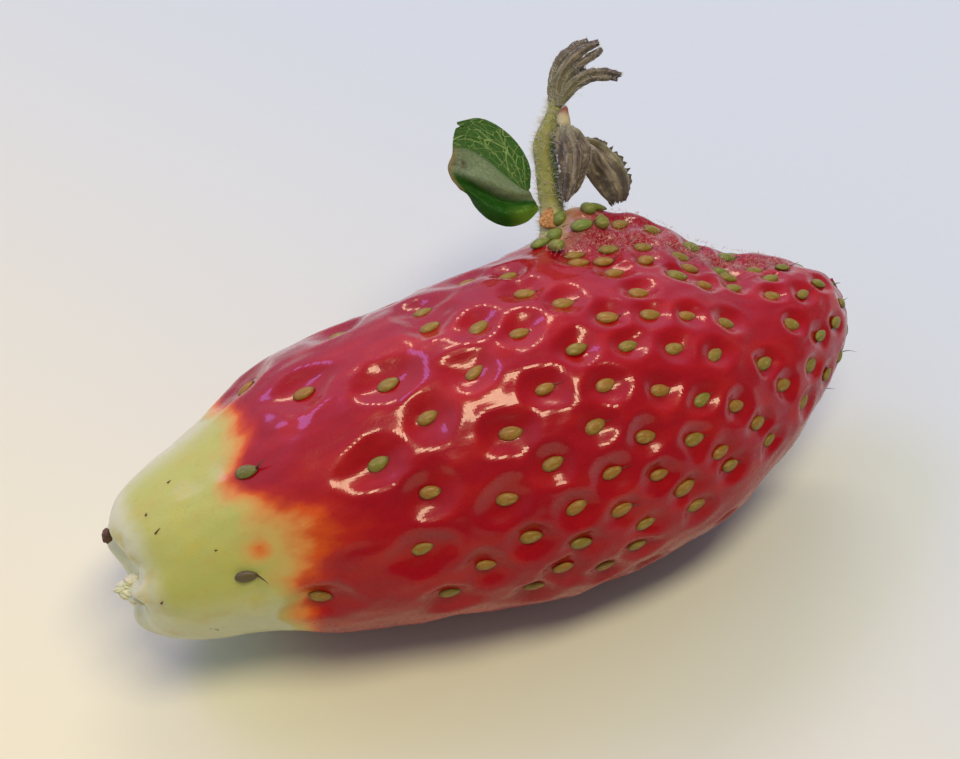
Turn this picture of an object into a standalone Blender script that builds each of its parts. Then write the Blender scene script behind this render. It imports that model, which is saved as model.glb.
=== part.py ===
"""A long strawberry, picked and lying on its belly, with a small leafy shoot on its shoulder.

The fruit lies along X: the pale neck, where the calyx was pulled off, is at -X and the blunt tip
at +X. It rests on a small flat spot whose centre is the origin. Lengths are in millimetres and are
turned into metres where the objects are made. Angles around the fruit are in degrees, 0 on top,
positive towards -Y and negative towards +Y.
"""

from math import cos, pi, radians, sin

import bmesh
import bpy
import numpy as np
from mathutils import Euler, Matrix, Vector
from mathutils.bvhtree import BVHTree

MM = 0.001

# The fruit's outline: distance from the neck end and radius, from the hollow of the torn end,
# over its lip and along the side to the tip.
NECK_HOLLOW = ((0.9, 0.0), (0.7, 1.6), (0.0, 2.8))
SIDE = (
    (0.1, 3.7), (1.6, 4.8), (5.0, 6.0), (7.6, 6.9), (10.0, 8.0), (13.0, 8.65),
    (18.0, 9.5), (25.0, 10.15), (31.0, 9.3), (35.5, 8.1), (39.5, 5.8), (42.2, 4.7), (45.1, 3.3),
)
TIP = ((47.0, 1.8), (47.6, 0.0))

# The fruit's centre line: distance from the neck end, sideways shift and height over the surface.
CENTRE_LINE = (
    (0.0, 0.9, 8.3), (10.0, 0.8, 9.1), (20.0, 0.3, 9.6), (30.0, -0.6, 9.6), (40.0, -1.2, 9.3),
    (47.6, 1.3, 9.3),
)

# Local swellings: distance from the neck end, angle, reach along, reach around, height.
SWELLINGS = (
    (35.3, -60.0, 4.6, 19.0, 4.4),
    (37.0, -34.0, 6.0, 8.0, -1.4),
    (33.0, -50.0, 3.0, 22.0, -0.9),
    (12.0, -55.0, 3.5, 40.0, 0.5),
    (9.0, 128.0, 3.5, 45.0, -0.4),
    (44.5, -50.0, 3.0, 35.0, 0.7),
)
SWELLING_FADE = 4.0

# The torn rim of the neck: angle of each nick or flap, its reach around and how deep it goes, and
# how far along the fruit the tearing fades.
TEARS = (
    (35.0, 13.0, 0.5), (58.0, 9.0, -0.7), (75.0, 8.0, 0.4), (-18.0, 13.0, -0.4), (125.0, 22.0, 0.3),
    (160.0, 14.0, -0.4), (-150.0, 25.0, 0.5), (-110.0, 16.0, -0.5), (-70.0, 18.0, 0.3),
)
TEAR_REACH = 1.8
TEAR_RADIUS = 3.0

# The flat spot's centre, from the neck end.
REST_X = 24.3

# How many faces the fruit has around it and along it.
AROUND = 56
ALONG = 46

# Achenes, the dry fruitlets that stand proud of the flesh.
ACHENE_LENGTH = 1.5
ACHENE_WIDTH = 0.9
ACHENE_THICKNESS = 0.54
ACHENE_GAP = 0.06
ACHENE_TAPER = 0.22

# Lone achenes, distance from the neck end and angle: two on the neck, five at the shoot's foot.
NECK_ACHENES = ((7.7, 10.0), (5.8, 58.5))
FOOT_ACHENES = ((29.6, -49.5), (32.3, -49.0), (32.6, -61.0), (34.0, -56.0), (30.6, -67.0))

# Rows of achenes over the crest: angle, first and last distance from the neck end, how many.
CREST_ROWS = (
    (-42.0, 31.0, 42.0, 6),
    (-50.0, 35.0, 41.0, 4),
    (-61.0, 35.2, 41.8, 4),
    (-72.0, 32.8, 41.0, 5),
)

# Rings of achenes around the tip: distance from the neck end, how many, turn.
TIP_RINGS = ((43.8, 9, 0.0), (45.6, 7, -8.0), (47.0, 5, 27.0))

# The shoot: where it stands on the flesh, how far it leans back and how it is turned.
SHOOT_X = 31.3
SHOOT_ANGLE = -57.0
SHOOT_LEAN = 52.0
SHOOT_TURN = -24.0

# The stem in the shoot's own frame: across, depth, height, radius.
STEM = (
    (0.0, 0.0, 0.75, 0.62), (-0.2, 0.0, 2.2, 0.72), (-0.45, 0.0, 3.7, 0.78), (-0.5, 0.0, 4.8, 0.74),
    (-0.25, 0.0, 5.9, 0.62), (0.0, 0.0, 6.9, 0.46), (0.05, 0.0, 7.4, 0.4),
)
STEM_SIDES = 12
STEM_POINTS = 21

# Leaves in the shoot's frame, as rows of cage points (across, depth, height) from the base to the
# tip; each row runs from one margin to the other.
UPPER_LEAF = (
    ((-0.45, -0.2, 7.65), (-0.05, -0.35, 7.65), (0.3, -0.2, 7.65)),
    ((-0.5, -0.3, 8.8), (0.35, -0.6, 8.65), (1.15, -0.1, 8.45)),
    ((-0.2, -0.3, 10.05), (0.85, -0.55, 9.9), (1.85, 0.0, 9.35)),
    ((0.95, -0.2, 11.15), (1.65, -0.45, 10.65), (2.85, 0.15, 9.4)),
    ((2.45, 0.0, 11.6), (2.85, 0.15, 10.85), (4.4, 0.35, 9.25)),
)
GREEN_LEAFLET = (
    ((-1.2, -0.15, 2.6), (-1.4, -0.35, 2.3), (-1.2, -0.6, 1.95), (-1.05, -0.35, 1.6)),
    ((-1.6, 0.15, 4.2), (-2.55, -0.2, 3.1), (-2.4, -0.9, 2.3), (-2.0, -0.35, 0.75)),
    ((-2.95, 0.45, 6.15), (-3.9, 0.1, 4.0), (-3.9, -1.0, 2.6), (-3.3, -0.45, 0.15)),
    ((-4.9, 0.45, 6.95), (-5.4, 0.1, 4.75), (-5.2, -0.9, 3.05), (-4.65, -0.35, 1.0)),
    ((-6.35, 0.2, 6.45), (-6.5, 0.05, 4.85), (-6.2, -0.55, 2.9), (-5.4, -0.3, 2.2)),
)
FRONT_LEAFLET = (
    ((-0.25, -0.95, 6.1), (0.4, -1.25, 6.25), (1.05, -1.0, 6.1)),
    ((-0.2, -1.25, 5.0), (0.8, -1.65, 5.2), (2.1, -1.3, 5.1)),
    ((0.05, -1.25, 3.35), (0.95, -1.6, 3.45), (2.05, -1.2, 3.55)),
    ((0.05, -1.1, 1.35), (0.5, -1.3, 1.45), (1.5, -0.95, 2.45)),
)
SIDE_LEAFLET = (
    ((1.55, 0.35, 5.75), (1.75, -0.1, 5.3), (1.75, 0.2, 4.75)),
    ((2.95, 0.45, 5.45), (2.5, -0.2, 4.6), (2.0, 0.2, 3.55)),
    ((4.3, 0.55, 4.5), (3.5, -0.1, 3.5), (2.5, 0.3, 2.5)),
    ((4.75, 0.55, 2.95), (4.2, 0.1, 2.2), (3.5, 0.45, 1.4)),
)
LEAF_THICKNESS = 0.28
LEAF_ROUNDING = 2

# The flower bud that never opened and the dry bract at the foot: centre, half sizes.
BUD_CENTRE = (0.75, -0.3, 7.0)
BUD_HALF = (0.34, 0.3, 0.55)
BRACT_CENTRE = (-0.45, -0.95, 0.6)
BRACT_HALF = (0.42, 0.14, 0.6)
BUD_TILT = -12.0
BRACT_TILT = 8.0
LUMP_TAPER = 0.35
LUMP_SIDES = 12
LUMP_RINGS = 8

COLOURS = {
    "flesh": (0.42, 0.006, 0.012),
    "achene": (0.25, 0.20, 0.05),
    "stem": (0.20, 0.24, 0.06),
    "green_leaf": (0.04, 0.16, 0.02),
    "dry_leaf": (0.16, 0.13, 0.08),
    "bud": (0.50, 0.46, 0.25),
    "bract": (0.32, 0.13, 0.04),
}


def smooth_curve(points, count):
    """Points along a Catmull-Rom curve through the given points, evenly spaced by chord."""
    pts = np.array(points, dtype=float)
    chords = np.linalg.norm(np.diff(pts, axis=0), axis=1)
    knots = np.concatenate(([0.0], np.cumsum(chords)))
    wanted = np.linspace(0.0, knots[-1], count)
    slopes = np.gradient(pts, knots, axis=0)
    index = np.clip(np.searchsorted(knots, wanted, side="right") - 1, 0, len(knots) - 2)
    span = knots[index + 1] - knots[index]
    t = ((wanted - knots[index]) / span)[:, None]
    start = pts[index]
    end = pts[index + 1]
    out = slopes[index] * span[:, None]
    into = slopes[index + 1] * span[:, None]
    return (
        (2 * t**3 - 3 * t**2 + 1) * start + (t**3 - 2 * t**2 + t) * out
        + (3 * t**2 - 2 * t**3) * end + (t**3 - t**2) * into
    )


def turn_between(angle, other):
    """The signed turn from one angle to another, within half a turn."""
    return (angle - other + 180.0) % 360.0 - 180.0


def centre_at(distance):
    """Sideways shift and height of the centre line at a distance from the neck end."""
    places = [row[0] for row in CENTRE_LINE]
    shift = np.interp(distance, places, [row[1] for row in CENTRE_LINE])
    height = np.interp(distance, places, [row[2] for row in CENTRE_LINE])
    return float(shift), float(height)


def flesh_point(distance, radius, angle):
    """A point of the fruit's skin, in millimetres, for a station of its outline and an angle."""
    swell = 0.0
    for place, bearing, reach_along, reach_around, height in SWELLINGS:
        along = (distance - place) / reach_along
        around = turn_between(angle, bearing) / reach_around
        swell += height * np.exp(-0.5 * (along**2 + around**2))
    reach = radius + swell * min(1.0, radius / SWELLING_FADE)
    tear = 0.0
    for bearing, reach_around, depth in TEARS:
        tear += depth * np.exp(-0.5 * (turn_between(angle, bearing) / reach_around) ** 2)
    tear *= np.exp(-((distance / TEAR_REACH) ** 2)) * min(1.0, radius / TEAR_RADIUS) ** 2
    shift, height = centre_at(distance)
    return Vector((
        distance + tear - REST_X,
        shift - reach * sin(radians(angle)),
        max(height + reach * cos(radians(angle)), 0.0),
    ))


def material(name, roughness):
    """A plain Principled material in the piece's own colour."""
    made = bpy.data.materials.get(name)
    if made:
        return made
    made = bpy.data.materials.new(name)
    made.use_nodes = True
    shader = made.node_tree.nodes["Principled BSDF"]
    shader.inputs["Base Color"].default_value = (*COLOURS[name], 1.0)
    shader.inputs["Roughness"].default_value = roughness
    shader.inputs["Metallic"].default_value = 0.0
    return made


def add_object(name, mesh, surface, parent=None):
    """Put a mesh in the collection as a smooth-shaded object with one material."""
    mesh.materials.append(surface)
    mesh.shade_smooth()
    piece = bpy.data.objects.new(name, mesh)
    collection.objects.link(piece)
    piece.parent = parent
    return piece


def make_flesh():
    """The whole fruit body, as a ball whose rings follow the outline from neck to tip."""
    form = bmesh.new()
    bmesh.ops.create_uvsphere(form, u_segments=AROUND, v_segments=ALONG, radius=1.0)
    bmesh.ops.rotate(form, verts=form.verts, matrix=Matrix.Rotation(pi / 2, 3, "Y"))
    outline = smooth_curve(NECK_HOLLOW + SIDE + TIP, ALONG + 1)
    for vert in form.verts:
        ring = round((1.0 - np.arccos(np.clip(vert.co.x, -1.0, 1.0)) / pi) * ALONG)
        distance, radius = outline[ring]
        angle = np.degrees(np.arctan2(-vert.co.y, vert.co.z))
        vert.co = flesh_point(distance, max(radius, 0.0), angle) * MM
    mesh = bpy.data.meshes.new("flesh")
    form.to_mesh(mesh)
    form.free()
    return add_object("flesh", mesh, material("flesh", 0.25))


def skin_place(tree, distance, angle):
    """Where a ray from the centre line meets the skin, and the skin's outward normal there."""
    shift, height = centre_at(distance)
    start = Vector((distance - REST_X, shift, height)) * MM
    ray = Vector((0.0, -sin(radians(angle)), cos(radians(angle))))
    place, normal, _, _ = tree.ray_cast(start, ray)
    return place, normal


def seat_matrix(place, normal, lift):
    """A frame on the skin: Z along the normal, X as near the fruit's own axis as it can be."""
    lengthwise = (Vector((1.0, 0.0, 0.0)) - normal * normal.x).normalized()
    turn = Matrix((lengthwise, normal.cross(lengthwise), normal)).transposed()
    return Matrix.Translation(place + normal * lift) @ turn.to_4x4()


def achene_mesh():
    """One achene: a teardrop seed, blunt at its foot and pointed where its style stood."""
    form = bmesh.new()
    bmesh.ops.create_icosphere(form, subdivisions=2, radius=1.0)
    for vert in form.verts:
        taper = 1.0 - ACHENE_TAPER * vert.co.x
        vert.co.x *= ACHENE_LENGTH / 2 * MM
        vert.co.y *= taper * ACHENE_WIDTH / 2 * MM
        vert.co.z *= taper * ACHENE_THICKNESS / 2 * MM
    mesh = bpy.data.meshes.new("achene")
    form.to_mesh(mesh)
    form.free()
    return mesh


def achene_places():
    """Name, distance from the neck end and angle of every achene that stands proud."""
    places = [(f"neck_achene_{n}", *spot) for n, spot in enumerate(NECK_ACHENES, 1)]
    places += [(f"foot_achene_{n}", *spot) for n, spot in enumerate(FOOT_ACHENES, 1)]
    count = 0
    for angle, first, last, number in CREST_ROWS:
        for distance in np.linspace(first, last, number):
            count += 1
            places.append((f"crest_achene_{count:02d}", distance, angle))
    count = 0
    for distance, number, turn in TIP_RINGS:
        for step in range(number):
            count += 1
            places.append((f"tip_achene_{count:02d}", distance, turn + step * 360.0 / number))
    return places


def make_achenes(tree):
    """Every proud achene, each its own object on a shared mesh, lying along the fruit."""
    shared = achene_mesh()
    shared.materials.append(material("achene", 0.5))
    shared.shade_smooth()
    for name, distance, angle in achene_places():
        place, normal = skin_place(tree, distance, angle)
        seat = seat_matrix(place, normal, (ACHENE_GAP + ACHENE_THICKNESS / 2) * MM)
        achene = bpy.data.objects.new(name, shared)
        achene.matrix_world = seat
        collection.objects.link(achene)


def make_shoot_frame(tree):
    """The empty that carries the shoot: its foot on the crest, leaning back and turned."""
    place, _ = skin_place(tree, SHOOT_X, SHOOT_ANGLE)
    frame = bpy.data.objects.new("shoot_frame", None)
    collection.objects.link(frame)
    frame.location = place
    frame.rotation_euler = Euler((radians(-SHOOT_LEAN), 0.0, radians(SHOOT_TURN)))
    return frame


def make_stem(frame):
    """The shoot's thick, swaying stem: a round tube whose width follows its radii."""
    curve = bpy.data.curves.new("shoot_stem", "CURVE")
    curve.dimensions = "3D"
    curve.bevel_depth = MM
    curve.bevel_resolution = STEM_SIDES // 4 - 1
    curve.use_fill_caps = True
    spline = curve.splines.new("POLY")
    route = smooth_curve(STEM, STEM_POINTS)
    spline.points.add(len(route) - 1)
    for point, (across, depth, height, radius) in zip(spline.points, route):
        point.co = (across * MM, depth * MM, height * MM, 1.0)
        point.radius = radius
    curve.materials.append(material("stem", 0.6))
    stem = bpy.data.objects.new("shoot_stem", curve)
    collection.objects.link(stem)
    stem.parent = frame
    return stem


def make_leaf(name, cage, surface, frame):
    """A thin leaf from a cage of points, rounded by subdivision and given its thickness."""
    rows = len(cage)
    columns = len(cage[0])
    form = bmesh.new()
    bmesh.ops.create_grid(form, x_segments=columns - 1, y_segments=rows - 1, size=1.0)
    for vert in form.verts:
        column = round((vert.co.x + 1.0) / 2.0 * (columns - 1))
        row = round((vert.co.y + 1.0) / 2.0 * (rows - 1))
        vert.co = Vector(cage[row][column]) * MM
    mesh = bpy.data.meshes.new(name)
    form.to_mesh(mesh)
    form.free()
    leaf = add_object(name, mesh, surface, frame)
    rounding = leaf.modifiers.new("rounding", "SUBSURF")
    rounding.levels = LEAF_ROUNDING
    rounding.render_levels = LEAF_ROUNDING
    thickness = leaf.modifiers.new("thickness", "SOLIDIFY")
    thickness.thickness = LEAF_THICKNESS * MM
    thickness.offset = 0.0
    return leaf


def make_lump(name, centre, half, surface, frame, tilt):
    """A small rounded body, drawn to a point at its top."""
    form = bmesh.new()
    bmesh.ops.create_uvsphere(form, u_segments=LUMP_SIDES, v_segments=LUMP_RINGS, radius=1.0)
    for vert in form.verts:
        narrowing = 1.0 - LUMP_TAPER * vert.co.z
        vert.co.x *= half[0] * narrowing * MM
        vert.co.y *= half[1] * narrowing * MM
        vert.co.z *= half[2] * MM
    mesh = bpy.data.meshes.new(name)
    form.to_mesh(mesh)
    form.free()
    lump = add_object(name, mesh, surface, frame)
    lump.location = Vector(centre) * MM
    lump.rotation_euler = Euler((0.0, radians(tilt), 0.0))
    return lump


for old in list(bpy.data.objects):
    bpy.data.objects.remove(old)
collection = bpy.data.collections.new("strawberry")
bpy.context.scene.collection.children.link(collection)

flesh = make_flesh()
skin = BVHTree.FromPolygons(
    [vert.co.copy() for vert in flesh.data.vertices],
    [tuple(face.vertices) for face in flesh.data.polygons],
)
make_achenes(skin)

shoot = make_shoot_frame(skin)
make_stem(shoot)
make_leaf("upper_leaf", UPPER_LEAF, material("dry_leaf", 0.7), shoot)
make_leaf("green_leaflet", GREEN_LEAFLET, material("green_leaf", 0.45), shoot)
make_leaf("front_leaflet", FRONT_LEAFLET, material("dry_leaf", 0.7), shoot)
make_leaf("side_leaflet", SIDE_LEAFLET, material("dry_leaf", 0.7), shoot)
make_lump("flower_bud", BUD_CENTRE, BUD_HALF, material("bud", 0.6), shoot, BUD_TILT)
make_lump("bract", BRACT_CENTRE, BRACT_HALF, material("bract", 0.6), shoot, BRACT_TILT)
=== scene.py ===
"""A long picked strawberry with a leafy shoot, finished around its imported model.

Lengths in the tables are in millimetres. Places on the fruit are given by their distance from the
torn neck end and their angle around the fruit in degrees, 0 on top and positive towards -Y.
"""

from functools import lru_cache
from math import cos, degrees, pi, radians, sin

import bmesh
import bpy
import numpy as np
from mathutils import Euler, Matrix, Vector, noise
from mathutils.bvhtree import BVHTree


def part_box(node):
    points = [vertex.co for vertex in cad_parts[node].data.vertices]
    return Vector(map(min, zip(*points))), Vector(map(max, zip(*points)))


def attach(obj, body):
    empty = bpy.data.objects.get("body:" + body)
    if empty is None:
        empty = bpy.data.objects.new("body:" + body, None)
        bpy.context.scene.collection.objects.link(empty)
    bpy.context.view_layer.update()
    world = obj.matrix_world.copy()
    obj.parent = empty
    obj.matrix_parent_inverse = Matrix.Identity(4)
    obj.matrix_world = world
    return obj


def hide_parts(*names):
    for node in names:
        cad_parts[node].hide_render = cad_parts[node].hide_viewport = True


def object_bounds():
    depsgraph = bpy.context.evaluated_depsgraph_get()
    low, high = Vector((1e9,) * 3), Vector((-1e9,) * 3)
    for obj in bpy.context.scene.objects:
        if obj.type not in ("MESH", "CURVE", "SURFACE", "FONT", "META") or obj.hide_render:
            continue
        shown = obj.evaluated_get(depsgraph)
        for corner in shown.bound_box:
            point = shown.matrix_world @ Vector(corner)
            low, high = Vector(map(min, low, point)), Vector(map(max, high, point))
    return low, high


bl_info = {
    "name": "Strawberry with a Leafy Shoot",
    "version": (1, 0, 0),
    "blender": (4, 5, 0),
    "location": "View3D > Sidebar > Strawberry",
    "description": "Builds the finished strawberry, its achenes, its shoot and a plain studio",
    "category": "Add Mesh",
}

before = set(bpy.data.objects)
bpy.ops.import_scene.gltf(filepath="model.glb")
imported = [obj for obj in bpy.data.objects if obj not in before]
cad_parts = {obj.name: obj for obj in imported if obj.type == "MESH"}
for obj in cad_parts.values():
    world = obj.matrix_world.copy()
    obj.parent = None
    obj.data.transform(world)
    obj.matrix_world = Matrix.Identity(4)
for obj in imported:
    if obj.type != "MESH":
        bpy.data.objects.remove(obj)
CAD_BOX = [[float(n) for n in corner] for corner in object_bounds()]

MM = 0.001
BODY = "root"
SEED = 7

# Rounds of subdivision of the model's flesh, and rounds of smoothing of its pits.
SKIN_LEVELS = 3
RELAX_ROUNDS = 5

# Distance from the neck end where the crowded tip begins.
TIP_START = 43.0

# Tries at spreading achenes where there are no rows, and where the rows lie: angles and last distance.
SPREAD_TRIES = 9000
ROW_ANGLES = (-46.0, 104.0)
ROW_END = 42.0

# Depth in the shoot's frame from which a place on the skin is looked for.
LOOK_DEPTH = -20.0

# How many hairs the crest and the stem have, and the share of its width that a strand loses.
CREST_HAIRS = 1200
STEM_HAIRS = 1500
STRAND_TAPER = 0.85

# A young achene's length, width and thickness next to a ripe one's.
YOUNG_SHAPE = (0.8, 1.25, 1.5)

# The fruit's centre line, as in the model: distance from the neck end, sideways shift, height.
CENTRE_LINE = (
    (0.0, 0.9, 8.3), (10.0, 0.8, 9.1), (20.0, 0.3, 9.6), (30.0, -0.6, 9.6), (40.0, -1.2, 9.3),
    (47.6, 1.3, 9.3),
)
LIP_REACH = 0.52
NECK_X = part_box("flesh")[0][0] / MM + LIP_REACH

# Achene spacing along the fruit: distance from the neck end and spacing.
SPACING = ((6.0, 5.6), (12.0, 4.8), (18.0, 4.0), (25.0, 3.3), (32.0, 2.9), (38.0, 2.5), (46.0, 2.0))

# Rows of sunken achenes on the upper side: from distance and angle, to distance and angle, count.
ACHENE_ROWS = (
    (9.7, -43, 16.0, -44, 2), (12.2, -12.6, 16.6, 0.6, 2), (14.3, 29, 28.2, -11, 5),
    (20.4, -18, 22.8, -8.7, 2), (20.7, -30, 26.5, -20.4, 2), (24.3, -42.6, 26.5, -35.7, 2),
    (32.4, -34, 37.6, -32.4, 3), (40.0, -35.6, 40.0, -35.6, 1), (21.8, 33.6, 33.0, -12.5, 5),
    (16.5, 45.4, 16.5, 45.4, 1), (20.5, 56, 26.6, 39, 3), (28.1, 26, 32.8, 0.5, 3),
    (15.3, 67, 15.3, 67, 1), (24.3, 65.4, 29.4, 47.6, 3), (31.2, 32.8, 35.0, 3.2, 3),
    (18.7, 82.3, 21.4, 73.3, 2), (27.0, 72, 32.4, 55, 3), (33.6, 40.8, 37.5, 7, 3),
    (16.6, 95, 24.3, 81.4, 2), (28.5, 83, 34.0, 65, 3), (35.8, 48.2, 42.0, 17.4, 3),
    (21.6, 103, 23.2, 93, 2), (26.0, 100.6, 28.0, 94, 2), (32.0, 86, 39.8, 49.4, 4),
    (38.0, 77, 41.3, 75, 2), (9.3, 84, 9.3, 84, 1), (41.7, -9.4, 41.7, -9.4, 1),
)

# Where the pale neck ends: angle around the fruit and distance from the neck end.
RIPE_LINE = (
    (-180, 9.0), (-130, 8.4), (-90, 8.4), (-43, 7.8), (-20, 8.2), (-4, 8.0), (8, 6.9), (17, 6.6),
    (24, 7.0), (32, 7.0), (40, 7.0), (60, 7.0), (68, 7.4), (78, 8.2), (100, 8.4), (140, 9.2),
    (180, 9.0),
)

# Finer swellings of the skin: distance, angle, reach along, reach around and height.
FINE_SWELLINGS = (
    (37.5, -32.0, 6.5, 9.0, 0.7), (38.0, -45.0, 5.0, 4.0, -0.3), (30.5, -36.0, 3.0, 8.0, 0.35),
    (32.5, -55.0, 1.0, 5.0, 1.0),
)

# Young achenes that stand around the shoot's foot, in the shoot's frame: across and height.
YOUNG_ACHENES = (
    (1.12, 1.94), (0.25, 0.63), (1.52, 0.8), (2.7, 0.37), (2.31, 1.77), (3.14, 1.33), (4.58, 1.42),
    (4.8, 0.54), (-0.1, -0.42), (-0.01, -1.12), (2.48, -0.95), (0.75, 1.35), (1.9, 1.2),
)

# Achenes along the front of the crest, in the shoot's frame: across and height.
RIDGE_ACHENES = (
    (1.25, -1.71), (3.38, -2.38), (7.23, -2.5), (8.93, -3.1), (10.76, -3.23), (13.1, -2.6),
)

# The shoot's frame: how far it leans back and is turned, and its foot under the model's stem.
SHOOT_LEAN = 52.0
SHOOT_TURN = -24.0
STEM_FOOT = (0.0, 0.0, 0.75)

# The stem in the shoot's frame: across, depth, height, half width.
STEM = (
    (-0.05, 0.15, -0.5, 1.0), (-0.1, 0.1, 0.3, 0.9), (-0.25, 0.05, 1.3, 0.74), (-0.42, 0.0, 2.7, 0.72),
    (-0.6, 0.0, 4.1, 0.7), (-0.7, 0.0, 5.1, 0.7), (-0.55, 0.0, 5.9, 0.66), (-0.28, 0.0, 6.7, 0.53),
    (-0.1, -0.02, 7.4, 0.4), (-0.05, -0.05, 7.9, 0.36),
)

# Leaf nets in the shoot's frame: rows from the leaf's base to its tip, each from margin to margin,
# as (across, depth, height).
GREEN_LEAFLET = (
    ((-1.60, -0.05, 2.62), (-1.62, -0.12, 2.5), (-1.66, -0.2, 2.38), (-1.55, -0.3, 2.2),
     (-1.4, -0.25, 1.95), (-1.2, -0.3, 1.6), (-1.0, -0.2, 1.25)),
    ((-1.55, 0.3, 3.7), (-2.0, 0.0, 3.2), (-2.45, -0.25, 2.65), (-2.4, -0.7, 2.25),
     (-2.25, -0.35, 1.7), (-2.1, -0.6, 1.1), (-1.85, -0.2, 0.5)),
    ((-2.15, 0.5, 5.05), (-2.75, 0.1, 4.1), (-3.25, -0.25, 3.1), (-3.2, -0.85, 2.5),
     (-3.15, -0.3, 1.75), (-3.05, -0.65, 0.95), (-2.95, -0.15, 0.25)),
    ((-3.25, 0.6, 6.2), (-3.8, 0.15, 4.9), (-4.2, -0.25, 3.65), (-4.15, -0.85, 2.95),
     (-4.1, -0.3, 2.1), (-4.1, -0.55, 1.35), (-4.15, -0.1, 0.75)),
    ((-4.75, 0.5, 6.85), (-5.0, 0.15, 5.4), (-5.3, -0.2, 3.95), (-5.2, -0.75, 3.25),
     (-5.0, -0.35, 2.55), (-5.0, -0.45, 2.05), (-5.0, -0.05, 1.65)),
    ((-6.0, 0.3, 6.6), (-6.25, 0.1, 5.5), (-6.3, -0.1, 4.6), (-6.55, -0.35, 3.75),
     (-6.25, -0.45, 2.95), (-5.75, -0.35, 2.5), (-5.3, -0.1, 2.3)),
)
UPPER_PALM = (
    ((-0.42, 0.1, 7.6), (-0.08, -0.1, 7.55), (0.26, 0.1, 7.55)),
    ((-0.42, 0.1, 8.5), (0.2, -0.05, 8.3), (0.85, 0.1, 8.15)),
    ((-0.3, 0.1, 9.35), (0.5, -0.05, 9.1), (1.4, 0.1, 8.75)),
    ((0.0, 0.1, 10.1), (0.85, 0.0, 9.8), (1.8, 0.1, 9.4)),
    ((0.6, 0.15, 10.75), (1.2, 0.1, 10.35), (1.8, 0.15, 9.95)),
)

# Folds of the upper leaf, each a route (across, height) and its half width.
UPPER_FOLDS = (
    (((-0.2, 7.55), (-0.28, 8.5), (-0.12, 9.4), (0.18, 10.15),
      (0.75, 10.8), (1.35, 11.25), (1.95, 11.5)), 0.27),
    (((0.0, 7.5), (0.0, 8.5), (0.25, 9.4), (0.7, 10.1),
      (1.4, 10.75), (2.05, 11.15), (2.6, 11.4)), 0.30),
    (((0.05, 7.5), (0.3, 8.4), (0.65, 9.2), (1.1, 9.8),
      (1.75, 10.3), (2.3, 10.65), (2.8, 11.0)), 0.27),
    (((0.1, 7.5), (0.45, 8.2), (0.95, 8.85), (1.6, 9.35),
      (2.3, 9.58), (3.1, 9.6), (3.95, 9.42)), 0.24),
    (((0.15, 7.5), (0.55, 8.0), (1.1, 8.6), (1.7, 9.02),
      (2.4, 9.24), (3.1, 9.26), (3.75, 9.18)), 0.20),
)
FRONT_LEAFLET = (
    ((0.2, -0.75, 6.05), (0.55, -1.0, 6.25), (0.95, -0.75, 6.15)),
    ((-0.1, -1.15, 5.45), (0.75, -1.5, 5.7), (1.65, -1.15, 5.55)),
    ((-0.02, -1.3, 4.7), (1.0, -1.65, 4.8), (2.1, -1.25, 4.8)),
    ((0.15, -1.3, 3.7), (0.95, -1.6, 3.75), (1.95, -1.2, 3.85)),
    ((0.18, -1.2, 2.65), (0.75, -1.45, 2.65), (1.5, -1.1, 2.75)),
    ((0.22, -1.1, 1.7), (0.5, -1.3, 1.6), (0.85, -1.05, 1.95)),
)
SIDE_LEAFLET = (
    ((1.6, -0.2, 5.75), (1.5, -0.4, 5.5), (1.45, -0.3, 5.2)),
    ((2.9, 0.3, 5.5), (2.35, -0.2, 4.85), (1.8, 0.1, 4.2)),
    ((3.85, 0.5, 4.85), (3.0, -0.2, 4.1), (1.85, 0.15, 3.45)),
    ((4.55, 0.6, 3.9), (3.6, -0.1, 3.3), (2.3, 0.25, 2.75)),
    ((4.65, 0.6, 2.9), (3.95, 0.1, 2.5), (2.9, 0.35, 2.05)),
    ((4.25, 0.55, 1.8), (3.85, 0.3, 1.65), (3.45, 0.45, 1.5)),
)

# Main veins of the green leaflet, as (reach, span) through its upper half, both from 0 to 1.
GREEN_VEINS = (
    ((0.0, 0.33), (0.3, 0.27), (0.62, 0.24), (0.95, 0.24)),
    ((0.0, 0.30), (0.25, 0.17), (0.45, 0.13), (0.62, 0.05)),
    ((0.0, 0.28), (0.15, 0.12), (0.28, 0.05)),
    ((0.45, 0.13), (0.62, 0.16), (0.8, 0.12)),
    ((0.3, 0.27), (0.4, 0.2), (0.45, 0.13)),
    ((0.62, 0.24), (0.68, 0.19), (0.62, 0.16)),
)


def curve_through(points, wanted):
    """Smooth points along a curve through the given points, at places from 0 to 1 by chord."""
    pts = np.asarray(points, dtype=float)
    chords = np.linalg.norm(np.diff(pts, axis=0), axis=1)
    knots = np.concatenate(([0.0], np.cumsum(chords))) / chords.sum()
    wanted = np.asarray(wanted, dtype=float)
    slopes = np.gradient(pts, knots, axis=0)
    index = np.clip(np.searchsorted(knots, wanted, side="right") - 1, 0, len(knots) - 2)
    span = (knots[index + 1] - knots[index])[:, None]
    t = (wanted - knots[index])[:, None] / span
    return (
        (2 * t**3 - 3 * t**2 + 1) * pts[index] + (t**3 - 2 * t**2 + t) * slopes[index] * span
        + (3 * t**2 - 2 * t**3) * pts[index + 1] + (t**3 - t**2) * slopes[index + 1] * span
    )


def smoothstep(low, high, value):
    """0 below low, 1 above high and a smooth rise between them."""
    t = np.clip((value - low) / (high - low), 0.0, 1.0)
    return t * t * (3.0 - 2.0 * t)


def bell(gap, reach):
    """1 where the gap is nothing, and less and less over the given reach."""
    return np.exp(-((gap / reach) ** 2))


def unit(way):
    """A direction made one long."""
    return way / np.linalg.norm(way)


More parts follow.
